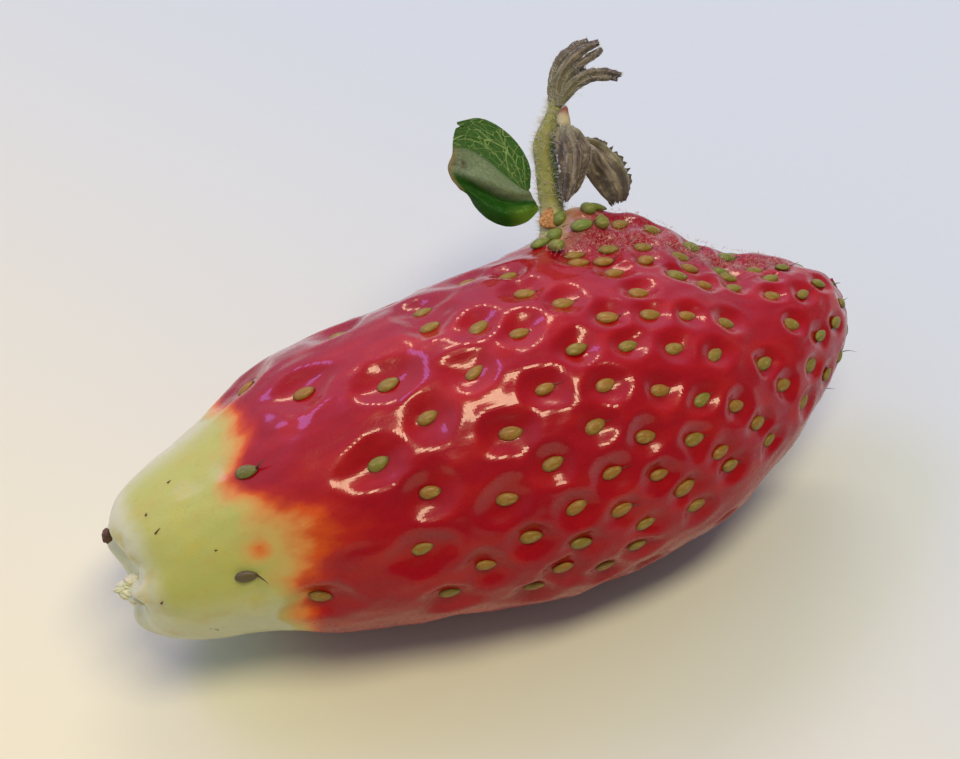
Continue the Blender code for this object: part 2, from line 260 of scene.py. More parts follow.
def turn_between(angle, other):
    """The signed turn from one angle to another, within half a turn."""
    return (angle - other + 180.0) % 360.0 - 180.0


def cloud(points, size, seed=0.0):
    """Smooth noise from -1 to 1 at each point, with lumps of the given size."""
    shift = Vector((seed * 17.3, seed * 5.1, seed * 9.7))
    return np.array([noise.noise(Vector(p) / size + shift) for p in points])


# ---------------------------------------------------------------- materials


class Link:
    """One value in a material. Arithmetic on it adds Math nodes."""

    def __init__(self, paint, socket):
        self.paint = paint
        self.socket = socket

    def math(self, operation, *values):
        return self.paint.math(operation, *values)

    def __add__(self, other):
        return self.math("ADD", self, other)

    def __sub__(self, other):
        return self.math("SUBTRACT", self, other)

    def __mul__(self, other):
        return self.math("MULTIPLY", self, other)

    def __truediv__(self, other):
        return self.math("DIVIDE", self, other)

    def __radd__(self, other):
        return self.math("ADD", other, self)

    def __rsub__(self, other):
        return self.math("SUBTRACT", other, self)

    def __rmul__(self, other):
        return self.math("MULTIPLY", other, self)

    def __pow__(self, other):
        return self.math("POWER", self, other)

    def clamp(self):
        return self.math("MINIMUM", self.math("MAXIMUM", self, 0.0), 1.0)

    def rise(self, low, high):
        """0 below low, 1 above high and a smooth rise between them."""
        return self.paint.node(
            "ShaderNodeMapRange",
            {"interpolation_type": "SMOOTHSTEP"},
            {"Value": self, "From Min": low, "From Max": high},
        )


class Paint:
    """A material in the making: a Principled shader and the nodes that feed it."""

    def __init__(self, name, **constants):
        self.material = bpy.data.materials.new(name)
        self.material.use_nodes = True
        self.tree = self.material.node_tree
        self.shader = self.tree.nodes["Principled BSDF"]
        for key, value in constants.items():
            self.shader.inputs[key.replace("_", " ")].default_value = value

    @classmethod
    def of_tree(cls, tree):
        """Nodes for a tree that is already there, such as the room's."""
        made = cls.__new__(cls)
        made.tree = tree
        return made

    def math(self, operation, *values):
        """A Math node on links or plain numbers."""
        return self.node("ShaderNodeMath", {"operation": operation}, dict(enumerate(values)))

    def node(self, kind, settings=None, inputs=None, output=0):
        """Adds a node, sets it up and feeds its sockets with values or links."""
        made = self.tree.nodes.new(kind)
        for key, value in (settings or {}).items():
            if key == "stops":
                self.set_stops(made.color_ramp, value)
            else:
                setattr(made, key, value)
        for key, value in (inputs or {}).items():
            self.feed(made.inputs[key], value)
        return Link(self, made.outputs[output])

    def set_stops(self, ramp, stops):
        """Gives a colour ramp its stops, as (place, colour)."""
        while len(ramp.elements) < len(stops):
            ramp.elements.new(0.5)
        for element, (place, colour) in zip(ramp.elements, stops):
            element.position = place
            element.color = (*colour, 1.0)

    def feed(self, socket, value):
        """Links a socket to a Link, or sets it to a plain value."""
        if isinstance(value, Link):
            self.tree.links.new(value.socket, socket)
        else:
            socket.default_value = value

    def attribute(self, name):
        """A number that the mesh carries at each vertex."""
        return self.node("ShaderNodeAttribute", {"attribute_name": name}, output="Fac")

    def place(self):
        """The place on the object, in metres."""
        return self.node("ShaderNodeTexCoord", output="Object")

    def noise(self, size, detail=3.0, roughness=0.5, stretch=(1.0, 1.0, 1.0), vector=None):
        """Noise whose lumps are about the given size in metres, from 0 to 1."""
        where = self.node(
            "ShaderNodeVectorMath",
            {"operation": "MULTIPLY"},
            {0: vector or self.place(), 1: tuple(s / size for s in stretch)},
        )
        return self.node(
            "ShaderNodeTexNoise",
            {},
            {"Vector": where, "Scale": 1.0, "Detail": detail, "Roughness": roughness},
        )

    def ramp(self, value, *stops):
        """A colour that follows a value."""
        return self.node("ShaderNodeValToRGB", {"stops": stops}, {"Fac": value})

    def mix(self, amount, first, second, blend="MIX"):
        """A colour between two colours."""
        made = self.tree.nodes.new("ShaderNodeMix")
        made.data_type = "RGBA"
        made.blend_type = blend
        for socket, value in ((0, amount), (6, first), (7, second)):
            self.feed(made.inputs[socket], (*value, 1.0) if isinstance(value, tuple) else value)
        return Link(self, made.outputs[2])

    def finish(self, **fed):
        """Feeds the shader's sockets and gives back the material."""
        height = fed.pop("height", None)
        if height is not None:
            distance = fed.pop("depth")
            bump = self.node("ShaderNodeBump", {}, {"Height": height, "Distance": distance})
            self.feed(self.shader.inputs["Normal"], bump)
        for key, value in fed.items():
            self.feed(self.shader.inputs[key.replace("_", " ")], value)
        return self.material


# ---------------------------------------------------------------- meshes


def mesh_from(name, points, faces):
    """A smooth-shaded mesh from points in metres and faces."""
    mesh = bpy.data.meshes.new(name)
    mesh.from_pydata([tuple(p) for p in points], [], [tuple(f) for f in faces])
    mesh.validate()
    mesh.update()
    mesh.shade_smooth()
    return mesh


def add_numbers(mesh, **numbers):
    """Stores numbers at each vertex of a mesh, under their names."""
    for name, values in numbers.items():
        stored = mesh.attributes.new(name, "FLOAT", "POINT")
        stored.data.foreach_set("value", np.asarray(values, dtype=np.float32))


def add_piece(name, mesh, surface, replaced=()):
    """Adds a finished piece that rides on the fruit and may stand for parts of the model."""
    mesh.materials.append(surface)
    piece = bpy.data.objects.new(name, mesh)
    bpy.context.scene.collection.objects.link(piece)
    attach(piece, BODY)
    if replaced:
        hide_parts(*replaced)
    return piece


def grid_faces(rows, columns, closed=False, start=0):
    """Quads of a grid of points, stored row by row; closed joins the last column to the first."""
    last = columns if closed else columns - 1
    return [
        (
            start + r * columns + c,
            start + r * columns + (c + 1) % columns,
            start + (r + 1) * columns + (c + 1) % columns,
            start + (r + 1) * columns + c,
        )
        for r in range(rows - 1)
        for c in range(last)
    ]


def tube_faces(rows, sides, start=0):
    """Faces of a tube of rings of points, closed at both ends."""
    last = start + (rows - 1) * sides
    caps = [tuple(start + s for s in reversed(range(sides))), tuple(last + s for s in range(sides))]
    return grid_faces(rows, sides, closed=True, start=start) + caps


def take_form(form):
    """A bmesh's points and faces; the bmesh is then done with."""
    points = np.array([v.co[:] for v in form.verts])
    faces = [tuple(v.index for v in f.verts) for f in form.faces]
    form.free()
    return points, faces


DOWN = np.array((0.0, 0.0, -1.0))


def add_strands(name, threads, bend, surface, sides=3, rings=4):
    """Adds a piece of thin tapering strands, each a root, a way, a length and a width."""
    points = []
    faces = []
    for (root, way, length, width), lean in zip(threads, bend):
        faces += tube_faces(rings, sides, start=len(points))
        side = unit(np.cross(way, (0.31, 0.52, 0.79)))
        other = np.cross(way, side)
        for ring in range(rings):
            t = ring / (rings - 1)
            centre = root + way * length * t + (side * lean + DOWN * abs(lean) * 0.5) * length * t * t
            radius = width * (1.0 - STRAND_TAPER * t)
            for step in range(sides):
                turn = 2.0 * pi * step / sides
                points.append(centre + radius * (side * cos(turn) + other * sin(turn)))
    return add_piece(name, mesh_from(name, points, faces), surface)


# ---------------------------------------------------------------- the fruit's skin


def centre_at(distance):
    """Sideways shift and height of the centre line, in millimetres."""
    line = np.array(CENTRE_LINE)
    return np.interp(distance, line[:, 0], line[:, 1]), np.interp(distance, line[:, 0], line[:, 2])


def fruit_places(points):
    """Distance from the neck end and angle around the fruit of points in metres."""
    distance = points[:, 0] / MM - NECK_X
    shift, height = centre_at(distance)
    angle = np.degrees(np.arctan2(shift - points[:, 1] / MM, points[:, 2] / MM - height))
    return distance, angle


def mesh_arrays(mesh):
    """A mesh's points and normals as arrays."""
    points = np.empty(len(mesh.vertices) * 3)
    mesh.vertices.foreach_get("co", points)
    normals = np.empty(len(mesh.vertices) * 3)
    mesh.vertex_normals.foreach_get("vector", normals)
    return points.reshape(-1, 3), normals.reshape(-1, 3)


@lru_cache(maxsize=1)
def smooth_skin():
    """The model's flesh as a fine, smooth mesh without pits."""
    form = bmesh.new()
    form.from_mesh(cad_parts["flesh"].data)
    bmesh.ops.remove_doubles(form, verts=form.verts, dist=1e-6)
    bmesh.ops.join_triangles(
        form, faces=form.faces, angle_face_threshold=pi, angle_shape_threshold=pi
    )
    coarse = bpy.data.meshes.new("coarse_skin")
    form.to_mesh(coarse)
    form.free()
    cage = bpy.data.objects.new("coarse_skin", coarse)
    bpy.context.scene.collection.objects.link(cage)
    rounding = cage.modifiers.new("rounding", "SUBSURF")
    rounding.levels = rounding.render_levels = SKIN_LEVELS
    evaluated = cage.evaluated_get(bpy.context.evaluated_depsgraph_get())
    fine = bpy.data.meshes.new_from_object(evaluated)
    bpy.data.objects.remove(cage)
    points, normals = mesh_arrays(fine)
    distance, angle = fruit_places(points)
    for place, bearing, along, around, height in FINE_SWELLINGS:
        off = ((distance - place) / along) ** 2 + (turn_between(angle, bearing) / around) ** 2
        points += normals * (height * MM * np.exp(-0.5 * off))[:, None]
    fine.vertices.foreach_set("co", points.ravel())
    fine.update()
    return fine


@lru_cache(maxsize=1)
def skin_tree():
    """A tree of the smooth skin, for finding places on it."""
    skin = smooth_skin()
    return BVHTree.FromPolygons(
        [v.co.copy() for v in skin.vertices], [tuple(p.vertices) for p in skin.polygons]
    )


class Seat:
    """Where an achene sits: a frame on the skin and the size of its pit."""

    def __init__(self, place, normal, node=None, young=False):
        self.place = np.array(place)
        self.normal = np.array(normal)
        self.lengthwise = unit(np.array((1.0, 0.0, 0.0)) - self.normal * self.normal[0])
        if young:
            upward = shoot_way((0.0, 0.0, 1.0)) + 0.4 * self.lengthwise
            self.lengthwise = unit(upward - self.normal * (upward @ self.normal))
        self.crosswise = np.cross(self.normal, self.lengthwise)
        distance, angle = fruit_places(self.place[None, :])
        self.distance = float(distance[0])
        self.angle = float(angle[0])
        table = np.array(SPACING)
        self.spacing = float(np.interp(self.distance, table[:, 0], table[:, 1]))
        self.node = node
        self.young = young
        self.proud = young or bool(node) and node.split("_")[0] in ("foot", "neck")
        self.at_tip = self.distance > TIP_START

    def pit_depth(self):
        """Depth of the pit: shallow where achenes stand proud and on the crowded tip."""
        depth = sizes().pit_depth * float(np.clip(self.spacing / 3.6, 0.55, 1.0))
        return depth * (0.0 if self.proud else 0.7 if self.at_tip else 1.0)


def seat_at(distance, angle):
    """The seat where a ray from the centre line meets the skin."""
    shift, height = centre_at(distance)
    start = Vector((distance + NECK_X, shift, height)) * MM
    ray = Vector((0.0, -sin(radians(angle)), cos(radians(angle))))
    place, normal, _, _ = skin_tree().ray_cast(start, ray)
    return Seat(place, normal)


@lru_cache(maxsize=1)
def seats():
    """Every achene's seat: those of the model, the rows, and the rest spread at their spacing."""
    found = []
    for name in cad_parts:
        if "achene" in name:
            low, high = (np.array(corner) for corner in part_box(name))
            place, normal, _, _ = skin_tree().find_nearest(Vector((low + high) / 2))
            found.append(Seat(place, normal, name))
    for across, height in YOUNG_ACHENES + RIDGE_ACHENES:
        eye = to_world((across, LOOK_DEPTH, height))
        ray = to_world((across, 0.0, height)) - eye
        place, normal, _, _ = skin_tree().ray_cast(Vector(eye), Vector(ray).normalized())
        if place is None:
            continue
        if min(np.linalg.norm(np.array(place) - other.place) for other in found) > 1.0 * MM:
            found.append(Seat(place, normal, young=(across, height) in YOUNG_ACHENES))
    for first, first_angle, last, last_angle, count in ACHENE_ROWS:
        for t in np.linspace(0.0, 1.0, count):
            angle = first_angle + (last_angle - first_angle) * t
            found.append(seat_at(first + (last - first) * t, angle))
    random = np.random.default_rng(SEED)
    for _ in range(SPREAD_TRIES):
        distance = 8.0 + 39.0 * random.random() ** 0.7
        angle = 360.0 * random.random() - 180.0
        if ROW_ANGLES[0] < angle < ROW_ANGLES[1] and distance < ROW_END:
            continue
        seat = seat_at(distance, angle)
        gaps = [np.linalg.norm(seat.place - other.place) / MM for other in found]
        if min(gaps) > seat.spacing * 0.93 and seat.place[2] > 1.2 * MM:
            found.append(seat)
    return found


def foot_place():
    """Where the shoot's foot meets the skin."""
    origin, _ = shoot_frame()
    return np.array(origin)


@lru_cache(maxsize=1)
def shoot_frame():
    """Origin and turn of the shoot's frame, read from the model's stem."""
    turn = Euler((radians(-SHOOT_LEAN), 0.0, radians(SHOOT_TURN))).to_matrix()
    points = np.array([v.co[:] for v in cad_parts["shoot_stem"].data.vertices])
    local = points @ np.array(turn)
    low = local[local[:, 2] < local[:, 2].min() + 0.3 * MM]
    origin = np.array(turn) @ (low.mean(axis=0) - np.array(STEM_FOOT) * MM)
    return Vector(origin), turn


def to_world(points):
    """Points of the shoot's frame in millimetres, as points of the scene in metres."""
    origin, turn = shoot_frame()
    return np.asarray(points, dtype=float) * MM @ np.array(turn).T + np.array(origin)


def shoot_way(way):
    """A direction in the shoot's frame, as a direction in the scene."""
    return unit(to_world(way) - to_world((0.0, 0.0, 0.0)))


# ---------------------------------------------------------------- settings


class StrawberrySizes(bpy.types.PropertyGroup):
    """Sizes of the strawberry's fine detail."""

    pit_depth: bpy.props.FloatProperty(
        name="Pit depth", description="How deep an achene's pit is in the middle of the fruit",
        default=0.53 * MM, min=0.0, unit="LENGTH", subtype="DISTANCE",
    )
    achene_length: bpy.props.FloatProperty(
        name="Achene length", description="Length of one achene",
        default=1.38 * MM, min=0.1 * MM, unit="LENGTH", subtype="DISTANCE",
    )
    hair_width: bpy.props.FloatProperty(
        name="Hair width", description="Thickness of the fine hairs at their root",
        default=0.022 * MM, min=0.001 * MM, unit="LENGTH", subtype="DISTANCE",
    )
    leaf_thickness: bpy.props.FloatProperty(
        name="Leaf thickness", description="Thickness of the leaves",
        default=0.12 * MM, min=0.01 * MM, unit="LENGTH", subtype="DISTANCE",
    )


def colour_setting(name, description, default):
    """A colour that a user can change."""
    return bpy.props.FloatVectorProperty(
        name=name, description=description, default=default, size=3, min=0.0, max=1.0, subtype="COLOR"
    )


class StrawberryColours(bpy.types.PropertyGroup):
    """Colours of the strawberry and its studio."""

    ripe: colour_setting("Ripe flesh", "Deep red of the ripe skin", (0.335, 0.0006, 0.007))
    turning: colour_setting("Turning flesh", "Orange where the skin is ripening", (0.62, 0.09, 0.008))
    unripe: colour_setting("Unripe flesh", "Pale green of the neck", (0.44, 0.47, 0.13))
    seed: colour_setting("Ripe achene", "Olive brown of a ripe achene", (0.26, 0.135, 0.018))
    green_seed: colour_setting("Green achene", "Green of a young achene", (0.12, 0.19, 0.025))
    leaf: colour_setting("Leaf", "Green of the fresh leaflet", (0.008, 0.062, 0.003))
    vein: colour_setting("Vein", "Pale green of the leaf's veins", (0.33, 0.50, 0.16))
    dry: colour_setting("Dry leaf", "Grey brown of the withered leaves", (0.19, 0.165, 0.105))
    floor: colour_setting("Floor", "The plain floor", (0.53, 0.64, 0.69))
    # A painted pool of warm light on one side of the floor.
    painted_floor_glow: colour_setting("Warm floor", "The floor towards its warmer side", (0.73, 0.725, 0.50))


def sizes():
    return bpy.context.scene.strawberry_sizes


def colours():
    return bpy.context.scene.strawberry_colours


# ---------------------------------------------------------------- flesh


def pit_field(points, normals):
    """Height change and pit mask of the skin around every achene, in metres and 0 to 1."""
    crowd = np.zeros(len(points))
    basin = np.zeros(len(points))
    lip = np.zeros(len(points))
    mask = np.zeros(len(points))
    wobble = cloud(points, 1.6 * MM, 9.0)
    random = np.random.default_rng(SEED + 3)
    for seat in seats():
        depth = seat.pit_depth()
        half_length = np.clip(0.45 * seat.spacing, 0.8, 2.1) * random.uniform(0.92, 1.08) * MM
        half_width = np.clip(0.38 * seat.spacing, 0.7, 1.5) * random.uniform(0.92, 1.08) * MM
        offset = points - seat.place
        near = np.flatnonzero(np.abs(offset).max(axis=1) < 2.2 * half_length)
        near = near[normals[near] @ seat.normal > 0.0]
        along = offset[near] @ seat.lengthwise / half_length
        across = offset[near] @ seat.crosswise / half_width
        reach = np.hypot(along, across) * (1.0 + 0.3 * wobble[near])
        inside = 1.0 - reach**2
        cup = depth * 0.5 * (inside + np.sqrt(inside**2 + 0.09))
        cup *= 1.0 - smoothstep(1.0, 1.8, reach)
        crowd[near] += cup**4
        basin[near] += 0.2 * depth * bell(reach, 1.5)
        lip[near] = np.maximum(lip[near], 0.12 * depth * bell(reach - 1.25, 0.28))
        mask[near] = np.maximum(mask[near], 1.0 - smoothstep(0.55, 0.95, reach))
    return lip - crowd**0.25 - basin, mask


def relaxed(mesh, values, rounds):
    """Values at a mesh's vertices, evened out with their neighbours."""
    edges = np.empty(len(mesh.edges) * 2, dtype=np.int32)
    mesh.edges.foreach_get("vertices", edges)
    first, second = edges.reshape(-1, 2).T
    count = len(values)
    degree = np.bincount(first, minlength=count) + np.bincount(second, minlength=count)
    for _ in range(rounds):
        total = np.bincount(first, values[second], count) + np.bincount(second, values[first], count)
        values = 0.5 * values + 0.5 * total / degree
    return values


def flesh_material():
    """Glossy, slightly see-through skin, from pale neck through orange to deep red."""
    c = colours()
    paint = Paint(
        "strawberry_skin", Subsurface_Weight=0.35, Subsurface_Radius=(1.0, 0.28, 0.16),
        Subsurface_Scale=1.1 * MM, Coat_Roughness=0.085, Coat_IOR=1.40, Specular_IOR_Level=0.15,
    )
    ripeness = paint.attribute("ripeness")
    pit = paint.attribute("pit")
    pale = paint.attribute("pale")
    blotch = paint.noise(1.5 * MM, detail=4.0, stretch=(0.3, 1.0, 1.0))
    grain = paint.noise(0.35 * MM, detail=3.0)
    ripe = (ripeness + (blotch - 0.5) * 0.55).clamp()
    # The unripe green is paler at the torn end, where the flesh really is paler, and paler towards the
    # neck's upper and lower outline as a painted sheen.
    green = paint.mix(paint.attribute("bleach"), tuple(c.unripe), (0.56, 0.58, 0.38))
    ripening = paint.ramp(
        ripe, (0.0, (0.47, 0.46, 0.13)), (0.24, (0.55, 0.42, 0.12)), (0.44, (0.66, 0.27, 0.06)),
        (0.58, tuple(c.turning)), (0.76, (0.44, 0.016, 0.008)), (1.0, tuple(c.ripe)),
    )
    blush = paint.noise(2.0 * MM, detail=2.0)
    yellowed = paint.mix(0.5 * blush.rise(0.55, 0.75), green, (0.52, 0.47, 0.08))
    skin = paint.mix(ripe.rise(0.0, 0.2), yellowed, ripening)
    deeper = paint.mix(0.45 * blotch.rise(0.35, 0.75) * ripe, skin, (0.26, 0.0006, 0.010))
    pitted = paint.mix(0.6 * pit * ripe.rise(0.4, 0.8), deeper, (0.33, 0.0006, 0.003))
    shade = 0.4 * paint.attribute("shade") * ripe.rise(0.5, 0.9)
    shaded = paint.mix(shade, pitted, (0.17, 0.0004, 0.010))
    young = paint.mix(pale * (0.55 + 0.45 * grain), shaded, (0.40, 0.42, 0.18))
    speckled = paint.mix(0.25 * grain.rise(0.55, 0.8), young, (0.55, 0.06, 0.06), "SOFT_LIGHT")
    fuzz = paint.attribute("fuzz") * paint.noise(0.22 * MM, detail=3.0).rise(0.42, 0.62)
    speckled = paint.mix(fuzz * 0.18, speckled, (0.62, 0.36, 0.34))
    coat = (0.25 + 0.6 * ripe) * (1.0 - 0.7 * pale) * paint.attribute("gloss")
    waves = paint.noise(0.75 * MM, detail=3.0, stretch=(0.45, 1.0, 1.0))
    return paint.finish(
        Base_Color=speckled, Roughness=0.22 + 0.22 * grain - 0.04 * ripe, Coat_Weight=coat,
        height=waves + 0.3 * paint.noise(0.16 * MM, detail=2.0), depth=0.032 * MM,
    )


class STRAWBERRY_OT_flesh(bpy.types.Operator):
    """Builds the flesh with its pits, lips and colour zones"""

    bl_idname = "strawberry.flesh"
    bl_label = "Flesh"

    def execute(self, context):
        mesh = smooth_skin().copy()
        mesh.name = "flesh_skin"
        points, normals = mesh_arrays(mesh)
        distance, angle = fruit_places(points)

        change, pit = pit_field(points, normals)
        change = relaxed(mesh, change, RELAX_ROUNDS)
        long = points * (0.6, 1.0, 1.0)
        swell = cloud(long, 3.0 * MM, 1.0) * 0.12 * MM + cloud(long, 0.9 * MM, 2.0) * 0.04 * MM
        torn = bell(distance, 0.8) * bell(turn_between(angle, 45.0), 38.0)
        swell += torn * cloud(points, 0.7 * MM, 12.0) * 0.25 * MM
        belly = smoothstep(0.0, 1.2, points[:, 2] / MM)
        moved = points + normals * ((change + swell) * belly)[:, None]
        moved[:, 2] = np.maximum(moved[:, 2], 0.0)
        mesh.vertices.foreach_set("co", moved.ravel())
        mesh.update()

        line = np.array(RIPE_LINE)
        edge = np.interp(angle, line[:, 0], line[:, 1]) + 0.6 * cloud(points, 2.4 * MM, 3.0)
        tongue = bell(turn_between(angle, 48.0), 20.0)
        ripeness = np.clip((distance - edge + 1.1) / (2.4 + 5.0 * tongue), 0.0, 1.0)
        ripeness[distance < 3.0] = 0.0
        foot_gap = np.linalg.norm(points - foot_place(), axis=1) / MM
        pale = 0.9 * (1.0 - smoothstep(0.8, 3.0, foot_gap + 0.7 * cloud(points, 0.8 * MM, 4.0)))
        spot = bell(distance - 6.9, 0.9) * bell(turn_between(angle, 48.0), 7.0)
        ripeness = np.maximum(ripeness, 0.56 * spot)
        # Painted sheen: the neck grows paler as it turns away from the side that faces the camera; near
        # the torn end the flesh is really paler.
        away = np.abs(turn_between(angle, 22.0))
        bleach = smoothstep(38.0, 75.0, away) + smoothstep(1.8, 0.3, distance)
        add_numbers(
            mesh, ripeness=ripeness, bleach=np.clip(bleach, 0.0, 1.0), pit=pit, pale=pale,
            gloss=1.0 - 0.6 * smoothstep(42.0, 72.0, np.abs(angle)),
            fuzz=smoothstep(30.0, 33.0, distance) * bell(turn_between(angle, -44.0), 8.0),
            shade=smoothstep(-8.0, -45.0, angle) * smoothstep(-110.0, -80.0, angle),
        )
        add_piece("flesh_skin", mesh, flesh_material(), ["flesh"])
        return {"FINISHED"}


# ---------------------------------------------------------------- achenes


# How far the achenes on the neck have dried.
NECK_AGE = {"neck_achene_1": 0.35, "neck_achene_2": 0.8}


@lru_cache(maxsize=1)
def achene_shape():
    """Points of one achene of length 1, its faces, and the place of each point along it."""
    form = bmesh.new()
    bmesh.ops.create_uvsphere(form, u_segments=18, v_segments=12, radius=1.0)
    bmesh.ops.rotate(form, verts=form.verts, matrix=Matrix.Rotation(pi / 2, 3, "Y"))
    points, faces = take_form(form)
    along = points[:, 0].copy()
    taper = 1.0 - 0.10 * along - 0.06 * along**2
    points[:, 0] = 0.48 * along + 0.05 * np.clip(along, 0.0, 1.0) ** 8
    points[:, 1] *= 0.27 * taper
    points[:, 2] *= 0.17 * taper
    return points, faces, along


def achene_greenness(seat, random):
    """How green an achene is: more towards the tip, on the crest and on the neck."""
    tip = smoothstep(33.0, 45.0, seat.distance)
    crest = smoothstep(-36.0, -50.0, seat.angle) * smoothstep(27.0, 31.0, seat.distance)
    young = 0.55 if seat.proud else 0.0
    return float(np.clip(0.15 + 0.5 * tip + 0.5 * crest + young + random.normal(0.0, 0.22), 0.0, 1.0))


@lru_cache(maxsize=1)
def achene_material():
    """Satin seed coat, olive brown to green, with fine lengthwise lines."""
    c = colours()
    paint = Paint("achene_coat", Coat_Roughness=0.25, Coat_Weight=0.15, Specular_IOR_Level=0.25)
    green = paint.attribute("greenness")
    along = paint.attribute("along")
    lines = paint.noise(0.14 * MM, detail=3.0, stretch=(0.35, 1.0, 1.0))
    body = paint.mix((green + 0.4 * (lines - 0.5)).clamp(), tuple(c.seed), tuple(c.green_seed))
    light = paint.mix(0.45 * lines.rise(0.45, 0.75), body, (0.46, 0.36, 0.12))
    end = paint.mix(0.65 * along.rise(0.72, 0.97), light, (0.06, 0.035, 0.02))
    rim = paint.mix(0.4 * (1.0 - along).rise(1.5, 1.98), end, (0.13, 0.05, 0.02))
    aged = paint.mix(paint.attribute("age"), rim, (0.075, 0.06, 0.04))
    return paint.finish(Base_Color=aged, Roughness=0.38 + 0.25 * lines, height=lines, depth=0.03 * MM)


@lru_cache(maxsize=1)
def style_material():
    """Dark, dry threads left on the achenes."""
    paint = Paint("dry_style", Roughness=0.6)
    tone = paint.noise(0.2 * MM)
    brown = paint.ramp(tone, (0.3, (0.035, 0.018, 0.012)), (0.75, (0.16, 0.07, 0.03)))
    return paint.finish(Base_Color=brown)


class STRAWBERRY_OT_achenes(bpy.types.Operator):
    """Builds every achene in its pit, with the dry style at its end"""

    bl_idname = "strawberry.achenes"
    bl_label = "Achenes"

    def execute(self, context):
        random = np.random.default_rng(SEED + 1)
        shape, shape_faces, along = achene_shape()
        groups = {True: ([], [], [], [], []), False: ([], [], [], [], [])}
        threads = []
        names = []
        for seat in seats():
            points, faces, green, places, age = groups[seat.node is not None]
            if seat.node:
                names.append(seat.node)
            size = sizes().achene_length * (0.85 if seat.at_tip else 1.0) * random.uniform(0.9, 1.08)
            twist = random.normal(0.0, 0.16)
            lengthwise = seat.lengthwise * cos(twist) + seat.crosswise * sin(twist)
            crosswise = np.cross(seat.normal, lengthwise)
            sunk = (0.12 if seat.proud or seat.at_tip else 0.04) * MM - 1.2 * seat.pit_depth()
            local = shape * size * (1.0, random.uniform(0.95, 1.12), 1.0)
            if seat.young:
                local *= YOUNG_SHAPE
            placed = (
                seat.place + seat.normal * sunk + local[:, :1] * lengthwise
                + local[:, 1:2] * crosswise + local[:, 2:] * seat.normal
            )
            start = sum(len(block) for block in points)
            points.append(placed)
            faces += [tuple(i + start for i in f) for f in shape_faces]
            green += [achene_greenness(seat, random)] * len(placed)
            places += list(along)
            old = NECK_AGE.get(seat.node, 0.0)
            age += [old] * len(placed)
            if old or random.random() < (0.5 if seat.node else 0.3):
                root = seat.place + seat.normal * (sunk + 0.1 * MM) + lengthwise * 0.5 * size
                lift = random.uniform(0.5, 1.2) if seat.node else random.uniform(-0.1, 0.35)
                way = lengthwise * 0.8 + seat.normal * lift + crosswise * random.normal(0.0, 0.25)
                length = 1.0 if old else random.uniform(0.35, 0.75)
                threads.append((root, unit(way), length * MM, (0.085 if old else 0.035) * MM))
        for proud, name in ((True, "proud_achenes"), (False, "sunken_achenes")):
            points, faces, green, places, age = groups[proud]
            mesh = mesh_from(name, np.concatenate(points), faces)
            add_numbers(mesh, greenness=green, along=places, age=age)
            add_piece(name, mesh, achene_material(), names if proud else ())
        bend = random.normal(0.0, 0.35, len(threads))
        add_strands("dry_styles", threads, bend, style_material(), sides=4, rings=5)
        return {"FINISHED"}


# ---------------------------------------------------------------- the shoot


def sheet(net, rows, columns, wrinkle, size, seed, fray=0.0, pleats=0.0):
    """A fine leaf from a net: its points, and the reach and span of each point from 0 to 1."""
    reach = np.linspace(0.0, 1.0, rows)
    span = np.linspace(0.0, 1.0, columns)
    ribs = np.stack([curve_through([row[c] for row in net], reach) for c in range(len(net[0]))])
    surface = np.stack([curve_through(ribs[:, r], span) for r in range(rows)])
    down = np.gradient(surface, axis=0)
    across = np.gradient(surface, axis=1)
    normal = np.cross(down, across)
    normal /= np.linalg.norm(normal, axis=2, keepdims=True) + 1e-9
    flat = surface.reshape(-1, 3)
    fold = cloud(flat * (1.0, 1.0, 0.45), size, seed) + 0.5 * cloud(flat, size * 0.4, seed + 1.0)
    surface = surface + normal * (fold.reshape(rows, columns, 1) * wrinkle)
    if pleats:
        wave = np.sin(2.0 * pi * pleats * span + 1.5 * np.sin(3.0 * span))[None, :, None]
        height = 0.13 * np.sin(pi * (0.15 + 0.85 * reach) ** 0.7) ** 0.5
        surface = surface + normal * wave * height[:, None, None]
    if fray:
        margin = np.abs(span - 0.5) * 2.0
        torn = fray * np.array([noise.noise(Vector((r * 14.0, seed, 0.0))) for r in reach])
        pull = (margin**6 * np.clip(1.3 - 1.5 * span, 0.0, 1.0))[None, :, None] * torn[:, None, None]
        surface = surface + (surface.mean(axis=1, keepdims=True) - surface) * np.abs(pull)
        ends = (reach**10)[:, None, None]
        ragged = fray * 0.8 * np.array([noise.noise(Vector((seed + 3.0, s * 12.0, 0.0))) for s in span])
        surface = surface - down * ends * np.abs(ragged)[None, :, None] * rows * 0.35
    grid_reach, grid_span = np.meshgrid(reach, span, indexing="ij")
    return surface.reshape(-1, 3), grid_reach.ravel(), grid_span.ravel()


def folded_strip(route, half_width, depth):
    """A net along a route in the shoot's frame, folded along its middle."""
    line = np.array(route)
    ways = np.gradient(line, axis=0)
    ways /= np.linalg.norm(ways, axis=1, keepdims=True)
    net = []
    for step, ((across, height), (right, up)) in enumerate(zip(line, ways)):
        t = step / (len(line) - 1)
        width = half_width * (0.75 + 0.9 * t - 1.15 * t**3)
        near = depth - 0.35 * sin(pi * t)
        net.append((
            (across - up * width, near + 0.28 * width, height + right * width),
            (across, near - 0.5 * width, height),
            (across + up * width, near + 0.28 * width, height - right * width),
        ))
    return net


def thicken(piece, thickness):
    """Gives a sheet its thickness."""
    solid = piece.modifiers.new("thickness", "SOLIDIFY")
    solid.thickness = thickness
    solid.offset = 0.0


